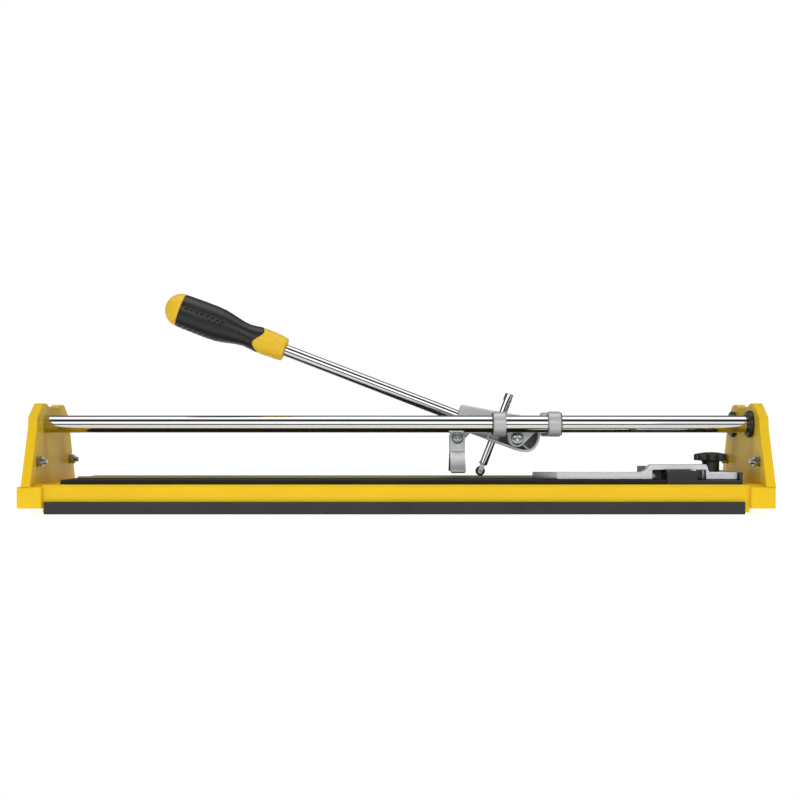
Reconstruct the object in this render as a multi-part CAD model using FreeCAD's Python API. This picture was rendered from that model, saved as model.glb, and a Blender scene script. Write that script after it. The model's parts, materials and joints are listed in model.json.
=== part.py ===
# Manual tile cutter: a folded steel base with two end brackets carries two chrome rails. A carriage slides
# on the rails and holds the scoring lever, with its wheel spindle and breaker foot. A side fence is clamped
# at the right-hand end.
# Frame: X along the rails, Y away from the front, Z up. The origin is on the floor under the middle of the
# object. Sizes are in millimetres.
import FreeCAD, Part
import math
import os

# ---- base ----
overall_length = 760.3
base_half_width = 86.5      # front and rear faces of the folded tray
base_top = 29.5
flange_bottom = 1.8
sheet = 2.0
bend_radius = 4.0
upstand_half_width = 71.5
upstand_top = 62.0
upstand_chamfer = 8.0
tongue_half_width = 78.0    # width of the tray's top where it runs under the brackets

# ---- end shoes ----
shoe_length = 25.0
shoe_half_width = 92.5
shoe_bottom = 6.0
shoe_wall = 2.5
shoe_corner = 2.0

# ---- rubber foot strips ----
strip_height = 12.5
strip_lip = 3.0             # rubber in front of the flange
strip_back = 3.0            # rubber behind it
strip_gap_left = 1.5
strip_gap_right = 5.0

# ---- breaking rib and pads ----
rib_width = 6.0
rib_height = 6.0
rib_crown = 2.4
pad_gap = 0.6
pad_half_width = 73.5
pad_thick = 4.5
pad_start = 25.8            # from the left bracket's plate to the pads

# ---- end brackets ----
left_plate_inset = 13.7     # from the overall end to the plate's inner face
right_plate_inset = 9.45
plate_thick = 2.5
bracket_depth = 9.4
bracket_foot_half = 92.3
bracket_shoulder_half = 66.0
bracket_shoulder_z = 87.0
bracket_cheek_z = 97.0
hump_half = 7.6             # half of a hump's flat top, each side of the rail
hump_top = 112.5
dip_depth = 2.8
profile_round = 3.0

# ---- rails ----
rail_od = 18.0
rail_wall = 1.5
rail_z = 91.0
rail_y = 34.5
rail_fit = 0.05
rail_proud = 1.0            # rail end past the bracket's plate
bushing_rim = 3.5           # flange past the spigot, all round
bushing_flange = 5.0
bushing_wall = 1.45
plug_length = 18.0
end_screw_d = 6.0
end_screw_reach = 14.0
end_washer_od = 24.0
end_washer = 2.0
end_head_d = 11.0
end_head = 3.0

# ---- bracket bolts ----
bolt_d = 6.0
bolt_y = 65.0
bolt_z = 52.5
bolt_tail = 10.0            # bolt end past the plate's inner face
nut_across = 10.0
nut_thick = 5.0
washer_od = 12.0
washer_thick = 1.2
hole_clearance = 0.2

# ---- carriage ----
pivot_from_right_plate = 243.1
pivot_z = 75.6
ring_od = 26.4
ring_width = 13.5
ring1_from_pivot = -20.1
ring2_from_pivot = 37.1
liner_wall = 1.6
liner_lip = 0.8
liner_lip_over = 1.2
slide_fit = 0.06
beam_inner = 14.5           # inner faces of the side beams
beam_height = 15.0
ear_thick = 5.0
ear_radius = 8.9
ear_top_left = -12.5
ear_top_right = 23.0
cross_member = 9.0
pivot_d = 8.0
pivot_fit = 0.05
pivot_head_d = 13.4
pivot_head = 3.6
pivot_nut_across = 13.0
pivot_nut = 6.0

# ---- lever ----
lever_angle = 21.0          # the handle's slope at rest
casting_half = 12.0
web_half = 3.0
rim_thick = 2.6
tube_od = 13.0
tube_wall = 1.5
tube_start = 34.0           # along the lever, from the pivot
socket_end = 67.6
socket_wall = 5.5
grip_start = 265.6
grip_end = 400.6
grip_bore_end = 372.0
grip_collar_end = 295.0     # end of the yellow collar, start of the black sleeve
grip_cap_start = 384.6      # seam between the black sleeve and the yellow cap
grip_core_r = 10.0
grip_cap_r = 18.0
grip_collar_r = 13.9
grip_neck_r = 12.0
grip_palm_r = 18.6
tube_pin_d = 4.0
tube_pin_at = 58.0
pivot_hub_r = 9.0
lock_screw_reach = 11.0     # from the spindle's axis to the screw's outer end

# ---- spindle and wheel ----
spindle_at = 23.0           # along the lever, from the pivot
spindle_d = 9.3
spindle_fit = 0.06
spindle_top = 42.6
fork_top = -38.5
fork_bottom = -49.0
fork_slot = 2.6
fork_width = 6.4
wheel_d = 10.4
wheel_thick = 2.0
wheel_at = -45.7
wheel_pin_d = 2.5
wheel_pin_fit = 0.05
flat_depth = 0.9
boss_half = 8.5             # cast boss around the spindle, half its width
boss_top = 20.0
boss_bottom = -13.6
lock_screw_d = 5.0
lock_screw_v = 6.5

# ---- breaker foot ----
foot_screw_x = -62.8        # from the pivot
foot_screw_z = 0.6
foot_width = 16.2
foot_sheet = 2.0
foot_top = 9.0              # above its screw
foot_knee = -13.0           # where the wings begin to spread
foot_toe = -36.0
foot_spread = 20.0
foot_web_drop = 1.0         # top of the web that joins the wings, below the knee
foot_gap = 0.35
foot_eye = 7.5              # radius of the cast eye around its screw
foot_screw_d = 5.0
foot_head_d = 10.0
foot_head = 3.0
foot_washer_od = 12.6
foot_washer = 1.0
foot_nut_across = 8.0
foot_nut_thick = 4.0
foot_screw_tail = 1.5

# ---- end stop and side fence ----
stop_end_gap = 19.2         # from the right plate to the stop
stop_length = 76.5
stop_rim = 1.8
stop_rim_top = 41.6
stop_screw_d = 4.0
stop_screw_inset = 8.0
stop_screw_sink = 2.0
guide_width = 29.9          # black rail that the fence slides along
guide_top = 43.6
guide_rear = -6.0
arm_bottom = 34.3
arm_top = 41.7
arm_front = -64.0
arm_depth = 17.5
arm_right_gap = 0.7
arm_length = 208.5
arm_mitre = 24.0
bridge_left = 87.0          # from the arm's right end
bridge_right = 32.5
bridge_wall = 1.2
bridge_slope = 8.0
bridge_slope_right = 2.3
bridge_under = 44.1
bridge_top = 49.7
saddle_left = 94.6          # from the arm's right end
saddle_right = 30.3
saddle_rear = -18.0
saddle_top = 47.2
saddle_foot_right = 8.0
saddle_foot_top = 41.0
saddle_screw_d = 4.0
saddle_screw_z = 37.7
saddle_screw_grip = 10.0
saddle_screw_head_d = 7.0
saddle_screw_head = 3.0
knob_from_arm_end = 20.5
knob_y = -36.5
knob_d = 34.8
knob_cap_bottom = 53.2
knob_cap = 8.6
knob_lobes = 7
knob_lobe_r = 4.4
hub_d = 17.7
clamp_d = 6.0
clamp_washer_od = 15.0
clamp_washer_thick = 1.0
clamp_nut_across = 11.0
clamp_nut = 2.6
fence_forward = 6.0
fence_back = 11.0
fence_gap = 0.4

# ---- places worked out from the sizes above ----
left_end = -overall_length / 2
right_end = overall_length / 2
left_plate = left_end + left_plate_inset
right_plate = right_end - right_plate_inset
shoe_left = left_end + shoe_length
shoe_right = right_end - shoe_length
pad_top = base_top + pad_thick
stop_right = right_plate - stop_end_gap
stop_left = stop_right - stop_length
pad_left = left_plate + pad_start
pivot_x = right_plate - pivot_from_right_plate
ring1_x = pivot_x + ring1_from_pivot
ring2_x = pivot_x + ring2_from_pivot
rail_r = rail_od / 2
spigot_r = rail_r + rail_fit + bushing_wall
liner_r = rail_r + slide_fit + liner_wall
arm_right = stop_right - stop_rim - arm_right_gap
arm_left = arm_right - arm_length
arm_rear = arm_front + arm_depth
knob_x = arm_right - knob_from_arm_end
slope = math.radians(lever_angle)
foot_x = pivot_x + foot_screw_x
foot_z = pivot_z + foot_screw_z
foot_inner = casting_half + foot_gap
foot_outer = foot_inner + foot_sheet


def vec(x, y, z):
    return FreeCAD.Vector(x, y, z)


def box(x0, x1, y0, y1, z0, z1):
    return Part.makeBox(x1 - x0, y1 - y0, z1 - z0, vec(x0, y0, z0))


def rod(radius, start, end):
    # cylinder between two points
    way = end.sub(start)
    return Part.makeCylinder(radius, way.Length, start, way)


def tube(outer, inner, start, end):
    return rod(outer, start, end).cut(rod(inner, start, end))


def union(first, *rest):
    shape = first
    for other in rest:
        shape = shape.fuse(other)
    return shape.removeSplitter()


def cut(shape, *tools):
    for tool in tools:
        shape = shape.cut(tool)
    return shape


def prism(points, way):
    # flat outline extruded along a vector
    return Part.Face(Part.makePolygon(points + [points[0]])).extrude(way)


def hexagon(across, start, end):
    # six-sided prism between two points on a line along X, Y or Z
    way = end.sub(start)
    arm = vec(0, 1, 0) if abs(way.z) > 0.1 else vec(0, 0, 1)
    arm.multiply(across / math.sqrt(3))
    points = [start.add(FreeCAD.Rotation(way, 60 * corner).multVec(arm)) for corner in range(6)]
    return prism(points, way)


def round_edges(shape, radius, wanted):
    # fillet the edges whose middle point the test accepts
    edges = [edge for edge in shape.Edges if wanted(edge.CenterOfMass, edge)]
    return shape.makeFillet(radius, edges)


def is_at(value, place):
    return abs(value - place) < 0.1


def both_sides(shape):
    # a piece and its mirror image in the object's middle plane
    return Part.makeCompound([shape, shape.mirror(vec(0, 0, 0), vec(0, 1, 0))])


def mirrored(shape):
    return shape.mirror(vec(0, 0, 0), vec(0, 1, 0))


def on_lever(u, v, y=0.0):
    # point in the lever's own frame: u along the handle from the pivot, v square to it and upwards
    x = pivot_x - u * math.cos(slope) + v * math.sin(slope)
    z = pivot_z + u * math.sin(slope) + v * math.cos(slope)
    return vec(x, y, z)


def off_lever(x, z):
    # the reverse of on_lever
    dx = x - pivot_x
    dz = z - pivot_z
    u = -dx * math.cos(slope) + dz * math.sin(slope)
    v = dx * math.sin(slope) + dz * math.cos(slope)
    return u, v


def save(shape, name):
    shape.exportStep("parts/" + name + ".step")
    solids = shape.Solids
    print(name, len(solids), round(sum(solid.Volume for solid in solids)), shape.isValid())


# ---- base ----
def tray():
    outer = box(shoe_left, shoe_right, -base_half_width, base_half_width, flange_bottom, base_top)
    outer = round_edges(outer, bend_radius, lambda c, e: is_at(c.z, base_top) and abs(c.y) > 1)
    inner_half = base_half_width - sheet
    inner_top = base_top - sheet
    inner = box(shoe_left, shoe_right, -inner_half, inner_half, flange_bottom, inner_top)
    inner = round_edges(inner, bend_radius - sheet, lambda c, e: is_at(c.z, inner_top) and abs(c.y) > 1)
    shape = outer.cut(inner)
    for plate, side, edge in ((left_plate, -1, shoe_left), (right_plate, 1, shoe_right)):
        face = plate + side * plate_thick
        end = face + side * sheet
        low, high = sorted((edge, end))
        tongue = box(low, high, -tongue_half_width, tongue_half_width, inner_top, base_top)
        low, high = sorted((face, end))
        upstand = box(low, high, -upstand_half_width, upstand_half_width, inner_top, upstand_top)
        corners = [e for e in upstand.Edges if is_at(e.CenterOfMass.z, upstand_top)]
        corners = [e for e in corners if is_at(abs(e.CenterOfMass.y), upstand_half_width)]
        upstand = upstand.makeChamfer(upstand_chamfer, corners)
        shape = union(shape, tongue, upstand)
        for y in (-bolt_y, bolt_y):
            radius = bolt_d / 2 + hole_clearance
            shape = shape.cut(rod(radius, vec(low - 1, y, bolt_z), vec(high + 1, y, bolt_z)))
    for x, y in stop_screw_places():
        shape = shape.cut(rod(stop_screw_d / 2, vec(x, y, inner_top - 1), vec(x, y, base_top + 1)))
    return shape


def shoe(side):
    outer_x = side * overall_length / 2
    inner_x = side * (overall_length / 2 - shoe_length)
    top = base_top - sheet
    low, high = sorted((outer_x, inner_x))
    shape = box(low, high, -shoe_half_width, shoe_half_width, shoe_bottom, top)
    end_faces = lambda c, e: is_at(abs(c.y), shoe_half_width) and not is_at(c.z, shoe_bottom)
    shape = round_edges(shape, shoe_corner, end_faces)
    half = shoe_half_width - shoe_wall
    return shape.cut(box(low + shoe_wall, high - shoe_wall, -half, half, shoe_bottom - 1, top - shoe_wall))


def foot_strip():
    front = -base_half_width - strip_lip
    rear = -base_half_width + sheet + strip_back
    x0 = shoe_left + strip_gap_left
    x1 = shoe_right - strip_gap_right
    shape = box(x0, x1, front, rear, 0, strip_height)
    shape = round_edges(shape, 1.0, lambda c, e: is_at(c.y, front) and is_at(c.z, strip_height / 2))
    slot = box(x0 - 1, x1 + 1, -base_half_width, -base_half_width + sheet, flange_bottom, strip_height + 1)
    return shape.cut(slot)


def breaking_rib():
    shape = box(pad_left, stop_left - pad_gap, -rib_width / 2, rib_width / 2, base_top, base_top + rib_height)
    return round_edges(shape, rib_crown, lambda c, e: is_at(c.z, base_top + rib_height) and abs(c.y) > 1)


def front_pad():
    x1 = stop_left - pad_gap
    shape = box(pad_left, x1, -pad_half_width, -rib_width / 2 - pad_gap, base_top, pad_top)
    return shape.makeChamfer(0.5, [e for e in shape.Edges if is_at(e.CenterOfMass.z, pad_top)])


# ---- end brackets ----
def bracket_outline(inset, x):
    # side profile of an end bracket: sloping cheeks, a hump over each rail and a dip between them
    half = [
        (bracket_foot_half, base_top - sheet),
        (bracket_shoulder_half, bracket_shoulder_z),
        (bracket_shoulder_half - 0.5, bracket_cheek_z),
        (rail_y + hump_half + 13.0, rail_z + rail_r + 4.0),
        (rail_y + hump_half + 2.5, hump_top - 1.5),
        (rail_y + hump_half - 1.0, hump_top),
        (rail_y - hump_half, hump_top),
        (rail_y - hump_half - 6.0, hump_top - dip_depth),
    ]
    points = [vec(x, -y, z) for y, z in half] + [vec(x, y, z) for y, z in reversed(half)]
    face = Part.Face(Part.makePolygon(points + [points[0]]))
    if inset:
        face = face.makeOffset2D(-inset)
    return face


def bracket(side):
    inner = left_plate if side < 0 else right_plate
    face = inner + side * plate_thick
    end = inner + side * bracket_depth
    bottom = base_top - sheet
    shape = bracket_outline(0, inner).extrude(vec(end - inner, 0, 0))
    shape = round_edges(shape, profile_round, lambda c, e: c.z > bottom + 5 and is_along_x(e))
    hollow = bracket_outline(plate_thick, face).extrude(vec(end - face, 0, 0))
    low, high = sorted((face, end))
    inner_half = bracket_foot_half - plate_thick * 1.35
    mouth = box(low, high, -inner_half, inner_half, bottom - 1, bottom + 2 * plate_thick)
    edge = [e for e in shape.Edges if abs(e.CenterOfMass.x - inner) < 0.01 and e.CenterOfMass.z > bottom + 1]
    shape = shape.makeFillet(1.2, edge)
    shape = cut(shape, hollow, mouth)
    low, high = sorted((inner, end))
    tongue = box(low - 1, high + 1, -tongue_half_width - 0.3, tongue_half_width + 0.3, bottom - 1, base_top)
    shape = shape.cut(tongue)
    radius = rail_r + rail_fit if side < 0 else spigot_r + rail_fit
    for y in (-rail_y, rail_y):
        shape = shape.cut(rod(radius, vec(low - 1, y, rail_z), vec(high + 1, y, rail_z)))
    for y in (-bolt_y, bolt_y):
        radius = bolt_d / 2 + hole_clearance
        shape = shape.cut(rod(radius, vec(low - 1, y, bolt_z), vec(high + 1, y, bolt_z)))
    return shape


def is_along_x(edge):
    return len(edge.Vertexes) == 2 and abs(edge.Vertexes[0].X - edge.Vertexes[1].X) > 1


# ---- bracket bolts ----
def bolt_places():
    for side, plate in ((-1, left_plate), (1, right_plate)):
        for y in (-bolt_y, bolt_y):
            yield side, plate, y


def bracket_bolts():
    solids = []
    for side, plate, y in bolt_places():
        back = plate + side * (plate_thick + sheet + washer_thick)
        tip = vec(plate - side * bolt_tail, y, bolt_z)
        shank = rod(bolt_d / 2, tip, vec(back, y, bolt_z))
        head = hexagon(nut_across, vec(back, y, bolt_z), vec(back + side * 3.0, y, bolt_z))
        solids.append(union(shank, head))
    return Part.makeCompound(solids)


def bracket_nuts():
    solids = []
    for side, plate, y in bolt_places():
        start = plate - side * washer_thick
        end = start - side * nut_thick
        nut = hexagon(nut_across, vec(start, y, bolt_z), vec(end, y, bolt_z))
        hole = rod(bolt_d / 2 + pivot_fit, vec(start + side, y, bolt_z), vec(end - side, y, bolt_z))
        solids.append(nut.cut(hole))
    return Part.makeCompound(solids)


def bracket_washers():
    solids = []
    for side, plate, y in bolt_places():
        for start, way in ((plate, -side), (plate + side * (plate_thick + sheet), side)):
            first = vec(start, y, bolt_z)
            last = vec(start + way * washer_thick, y, bolt_z)
            solids.append(tube(washer_od / 2, bolt_d / 2 + hole_clearance, first, last))
    return Part.makeCompound(solids)


# ---- rails ----
def rail_span():
    return left_plate - plate_thick - rail_proud, right_plate + plate_thick + rail_proud


def rail(y):
    x0, x1 = rail_span()
    return tube(rail_r, rail_r - rail_wall, vec(x0, y, rail_z), vec(x1, y, rail_z))


def bushing(y):
    face = right_plate - bushing_flange
    flange = rod(spigot_r + bushing_rim, vec(face, y, rail_z), vec(right_plate, y, rail_z))
    flange = round_edges(flange, 1.6, lambda c, e: is_at(c.x, face))
    back = right_plate + plate_thick
    spigot = rod(spigot_r, vec(right_plate, y, rail_z), vec(back, y, rail_z))
    bore = rod(rail_r + rail_fit, vec(face - 1, y, rail_z), vec(back + 1, y, rail_z))
    return union(flange, spigot).cut(bore)


def rail_ends():
    x0, x1 = rail_span()
    for side, x in ((-1, x0), (1, x1)):
        for y in (-rail_y, rail_y):
            yield side, x, y


def rail_plugs():
    solids = []
    for side, x, y in rail_ends():
        inner = x - side * plug_length
        hole = end_screw_d / 2 + pivot_fit
        solids.append(tube(rail_r - rail_wall, hole, vec(inner, y, rail_z), vec(x, y, rail_z)))
    return Part.makeCompound(solids)


def rail_end_washers():
    solids = []
    for side, x, y in rail_ends():
        outer = x + side * end_washer
        hole = end_screw_d / 2 + hole_clearance
        solids.append(tube(end_washer_od / 2, hole, vec(x, y, rail_z), vec(outer, y, rail_z)))
    return Part.makeCompound(solids)


def rail_end_screws():
    solids = []
    for side, x, y in rail_ends():
        seat = x + side * end_washer
        head = rod(end_head_d / 2, vec(seat, y, rail_z), vec(seat + side * end_head, y, rail_z))
        head = round_edges(head, 1.2, lambda c, e: is_at(c.x, seat + side * end_head))
        tip = vec(seat - side * end_screw_reach, y, rail_z)
        solids.append(union(head, rod(end_screw_d / 2, tip, vec(seat, y, rail_z))))
    return Part.makeCompound(solids)


# ---- end stop ----
def stop_screw_places():
    for y in (-pad_half_width + stop_screw_inset, pad_half_width - stop_screw_inset):
        for x in (stop_left + guide_width + stop_screw_inset, stop_right - stop_rim - stop_screw_inset):
            yield x, y


def clamp_slot():
    # slot for the clamp stud, and the wider pocket under it for the nut
    y0 = knob_y - fence_forward
    y1 = knob_y + fence_back
    half = clamp_d / 2 + 0.4
    wide = clamp_nut_across / 2 + fence_gap
    long = clamp_nut_across / math.sqrt(3) + 1.0
    slit = box(knob_x - half, knob_x + half, y0 - half, y1 + half, base_top - 1, pad_top + 1)
    pocket_top = base_top + clamp_nut + 2 * fence_gap
    pocket = box(knob_x - wide, knob_x + wide, y0 - long, y1 + long, base_top - 1, pocket_top)
    return slit, pocket


def end_stop():
    floor = box(stop_left, stop_right, -pad_half_width, pad_half_width, base_top, pad_top)
    rim = box(stop_right - stop_rim, stop_right, -pad_half_width, pad_half_width, base_top, stop_rim_top)
    guide = box(stop_left, stop_left + guide_width, -pad_half_width, guide_rear, base_top, guide_top)
    guide = round_edges(guide, 1.5, lambda c, e: is_at(c.z, guide_top))
    shape = union(floor, rim, guide)
    shape = cut(shape, *clamp_slot())
    for x, y in stop_screw_places():
        hole = rod(stop_screw_d / 2, vec(x, y, base_top - 1), vec(x, y, pad_top + 1))
        sink_foot = vec(x, y, pad_top - stop_screw_sink)
        sink = Part.makeCone(stop_screw_d / 2, stop_screw_d, stop_screw_sink, sink_foot, vec(0, 0, 1))
        shape = cut(shape, hole, sink)
    return shape


def stop_screws():
    solids = []
    for x, y in stop_screw_places():
        shank = rod(stop_screw_d / 2, vec(x, y, base_top - sheet - 4.0), vec(x, y, pad_top - 0.1))
        sink_foot = vec(x, y, pad_top - stop_screw_sink)
        head_r = stop_screw_d - 0.1
        head = Part.makeCone(stop_screw_d / 2, head_r, stop_screw_sink - 0.1, sink_foot, vec(0, 0, 1))
        solids.append(union(shank, head))
    return Part.makeCompound(solids)


# ---- side fence ----
def fence_arm():
    # flat bar with a bridge over the guide rail and a mitred tip
    hump_start = arm_right - bridge_left
    hump_end = arm_right - bridge_right
    outline = [
        (arm_left, arm_bottom), (hump_start, arm_bottom), (hump_start, bridge_under),
        (hump_end, bridge_under), (hump_end, arm_bottom), (arm_right, arm_bottom), (arm_right, arm_top),
        (hump_end + bridge_wall + bridge_slope_right, arm_top), (hump_end + bridge_wall, bridge_top),
        (hump_start - bridge_wall, bridge_top), (hump_start - bridge_wall - bridge_slope, arm_top),
        (arm_left, arm_top),
    ]
    shape = prism([vec(x, arm_front, z) for x, z in outline], vec(0, arm_depth, 0))
    middle = (arm_top + arm_bottom) / 2
    shape = round_edges(shape, 4.0, lambda c, e: is_at(c.x, arm_right) and is_at(c.z, middle))
    tip = [vec(arm_left - 1, arm_rear + 1, 0), vec(arm_left - 1, arm_front - 1, 0)]
    tip = tip + [vec(arm_left + arm_mitre, arm_front - 1, 0), vec(arm_left + arm_mitre, arm_front, 0)]
    tip = tip + [vec(arm_left, arm_rear, 0), vec(arm_left, arm_rear + 1, 0)]
    shape = shape.cut(prism(tip, vec(0, 0, 2 * arm_top)))
    for x in saddle_screw_places():
        blind_end = saddle_point(x, arm_rear - saddle_screw_grip)
        shape = shape.cut(rod(saddle_screw_d / 2, blind_end, saddle_point(x, arm_rear + 1)))
    return shape


def saddle_point(x, y):
    return vec(x, y, saddle_screw_z)


def saddle_screw_places():
    left = (arm_right - saddle_left + stop_left) / 2 - fence_gap
    return left, arm_right - saddle_right + saddle_screw_d / 4


def fence_saddle():
    # block behind the arm that straddles the guide rail, with a foot for the clamping knob
    left = arm_right - saddle_left
    right = arm_right - saddle_right
    foot_end = arm_right - saddle_foot_right
    block = box(left, right, arm_rear, saddle_rear, arm_bottom, saddle_top)
    block = round_edges(block, 1.0, lambda c, e: is_at(c.z, saddle_top))
    foot = box(right - 1, foot_end, arm_rear, saddle_rear, arm_bottom, saddle_foot_top)
    height = saddle_foot_top - arm_bottom
    foot = round_edges(foot, 3.0, lambda c, e: is_at(c.x, foot_end) and is_at(e.Length, height))
    channel_left = stop_left - fence_gap
    channel_right = arm_right - bridge_right
    channel = box(channel_left, channel_right, arm_rear - 1, saddle_rear + 1, 0, guide_top + fence_gap)
    shape = cut(union(block, foot), channel)
    shape = shape.cut(rod(clamp_d / 2 + hole_clearance, vec(knob_x, knob_y, 0), vec(knob_x, knob_y, arm_top)))
    for x in saddle_screw_places():
        hole = rod(saddle_screw_d / 2, saddle_point(x, arm_rear - 1), saddle_point(x, saddle_rear + 1))
        seat = saddle_point(x, saddle_rear - saddle_screw_head)
        shape = cut(shape, hole, rod(saddle_screw_head_d / 2, seat, saddle_point(x, 0)))
    return shape


def saddle_screws():
    solids = []
    for x in saddle_screw_places():
        seat = saddle_point(x, saddle_rear - saddle_screw_head)
        shank = rod(saddle_screw_d / 2, saddle_point(x, arm_rear - saddle_screw_grip + 0.5), seat)
        head = rod(saddle_screw_head_d / 2 - 0.1, seat, saddle_point(x, saddle_rear - 0.3))
        solids.append(union(shank, head))
    return Part.makeCompound(solids)


def knob():
    # star knob: a lobed cap on a round hub, bored for the clamping stud
    hub_bottom = saddle_foot_top + clamp_washer_thick
    foot = vec(knob_x, knob_y, hub_bottom)
    cap_foot = vec(knob_x, knob_y, knob_cap_bottom)
    shape = rod(knob_d / 2 - 0.7 * knob_lobe_r, cap_foot, cap_foot.add(vec(0, 0, knob_cap)))
    for lobe in range(knob_lobes):
        turn = 2 * math.pi * lobe / knob_lobes
        out = knob_d / 2 - knob_lobe_r
        place = cap_foot.add(vec(-out * math.cos(turn), out * math.sin(turn), 0))
        shape = shape.fuse(rod(knob_lobe_r, place, place.add(vec(0, 0, knob_cap - 1.2))))
    shape = union(shape, rod(hub_d / 2, foot, cap_foot))
    return shape.cut(rod(clamp_d / 2, foot, cap_foot))


def clamp_stud():
    low = vec(knob_x, knob_y, base_top + fence_gap)
    return rod(clamp_d / 2, low, vec(knob_x, knob_y, knob_cap_bottom - 0.2))


def clamp_washer():
    low = vec(knob_x, knob_y, saddle_foot_top)
    top = low.add(vec(0, 0, clamp_washer_thick - 0.05))
    return tube(clamp_washer_od / 2, clamp_d / 2 + hole_clearance, low, top)


def clamp_nut_piece():
    low = vec(knob_x, knob_y, base_top + fence_gap)
    top = low.add(vec(0, 0, clamp_nut))
    return hexagon(clamp_nut_across, low, top).cut(rod(clamp_d / 2 + pivot_fit, low, top))


# ---- carriage ----
def ear_points(y):
    # flank lines of the ear, drawn down from the beam to the round bottom
    beam_low = rail_z - beam_height / 2
    points = [vec(pivot_x + ear_top_left, y, beam_low + 1), vec(pivot_x + ear_top_right, y, beam_low + 1)]
    points = points + [vec(pivot_x + ear_radius * 0.78, y, pivot_z - ear_radius * 0.62)]
    points = points + [vec(pivot_x - ear_radius * 0.93, y, pivot_z - ear_radius * 0.35)]
    return points


def carriage_side():
    y_rail = -rail_y
    shape = None
    x0 = ring1_x - ring_width / 2
    x1 = ring2_x + ring_width / 2
    beam_outer = rail_y - rail_r - 0.6
    beam = box(x0, x1, -beam_outer, -beam_inner, rail_z - beam_height / 2, rail_z + beam_height / 2)
    shape = beam
    for centre in (ring1_x, ring2_x):
        start = vec(centre - ring_width / 2, y_rail, rail_z)
        end = vec(centre + ring_width / 2, y_rail, rail_z)
        ring = rod(ring_od / 2, start, end)
        shape = shape.fuse(ring)
    y_ear = -beam_inner - ear_thick
    ear = prism(ear_points(y_ear), vec(0, ear_thick, 0))
    round_end = rod(ear_radius, vec(pivot_x, y_ear, pivot_z), vec(pivot_x, -beam_inner, pivot_z))
    shape = union(shape, ear, round_end)
    for centre in (ring1_x, ring2_x):
        start = vec(centre - ring_width / 2 - 1, y_rail, rail_z)
        end = vec(centre + ring_width / 2 + 1, y_rail, rail_z)
        shape = shape.cut(rod(liner_r, start, end))
    return shape


def carriage_frame():
    side = carriage_side()
    x1 = ring2_x + ring_width / 2
    low = rail_z - beam_height / 2
    beam = box(x1 - cross_member, x1, -beam_inner - 1, beam_inner + 1, low, low + beam_height)
    shape = union(side, mirrored(side), beam)
    reach = beam_inner + ear_thick + 1
    radius = pivot_d / 2 + pivot_fit
    return shape.cut(rod(radius, vec(pivot_x, -reach, pivot_z), vec(pivot_x, reach, pivot_z)))


def liners():
    # plastic sleeves in the rings, each with a small lip on the ring's outer end
    solids = []
    for centre, side in ((ring1_x, -1), (ring2_x, 1)):
        for y in (-rail_y, rail_y):
            inner = vec(centre - side * ring_width / 2, y, rail_z)
            outer = vec(centre + side * ring_width / 2, y, rail_z)
            end = outer.add(vec(side * liner_lip, 0, 0))
            sleeve = rod(liner_r, inner, end)
            lip = rod(liner_r + liner_lip_over, outer, end)
            bore = rod(rail_r + slide_fit, inner.add(vec(-side, 0, 0)), end.add(vec(side, 0, 0)))
            solids.append(union(sleeve, lip).cut(bore))
    return Part.makeCompound(solids)


def pivot_bolt():
    seat = -beam_inner - ear_thick
    tip = beam_inner + ear_thick + pivot_nut + 1.5
    head = rod(pivot_head_d / 2, vec(pivot_x, seat - pivot_head, pivot_z), vec(pivot_x, seat, pivot_z))
    head = round_edges(head, 1.6, lambda c, e: is_at(c.y, seat - pivot_head))
    return union(head, rod(pivot_d / 2, vec(pivot_x, seat, pivot_z), vec(pivot_x, tip, pivot_z)))


def pivot_nut_piece():
    start = vec(pivot_x, beam_inner + ear_thick, pivot_z)
    end = start.add(vec(0, pivot_nut, 0))
    return hexagon(pivot_nut_across, start, end).cut(rod(pivot_d / 2 + pivot_fit, start, end))


def pivot_washers():
    # spacers between the lever and the two ears
    gap = beam_inner - casting_half
    first = vec(pivot_x, -beam_inner, pivot_z)
    shape = tube(7.5, pivot_d / 2 + pivot_fit, first, first.add(vec(0, gap - foot_gap, 0)))
    return both_sides(shape)


# ---- lever ----
def lever_outline():
    # (u, v) corners of the casting, from the socket's mouth round the tail
    return [
        (socket_end, socket_wall + tube_od / 2 + 0.8), (1.4, 25.9), (-16.0, 28.4), (-22.0, 14.0),
        (-23.6, 6.0), (-22.4, -1.0), (-18.0, -7.6), (-12.0, -11.2),
        (18.0, -12.2), (socket_end - 3.0, -socket_wall - tube_od / 2 + 0.6),
    ]


def lever_prism(points, half):
    return prism([on_lever(u, v, -half) for u, v in points], vec(0, 2 * half, 0))


def shrink(points, inset):
    face = Part.Face(Part.makePolygon([vec(u, v, 0) for u, v in points + [points[0]]]))
    wire = face.makeOffset2D(-inset).OuterWire
    return [(vertex.X, vertex.Y) for vertex in wire.OrderedVertexes]


def spindle_bore(extra):
    return rod(spindle_d / 2 + extra, on_lever(spindle_at, -60), on_lever(spindle_at, 60))


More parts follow.
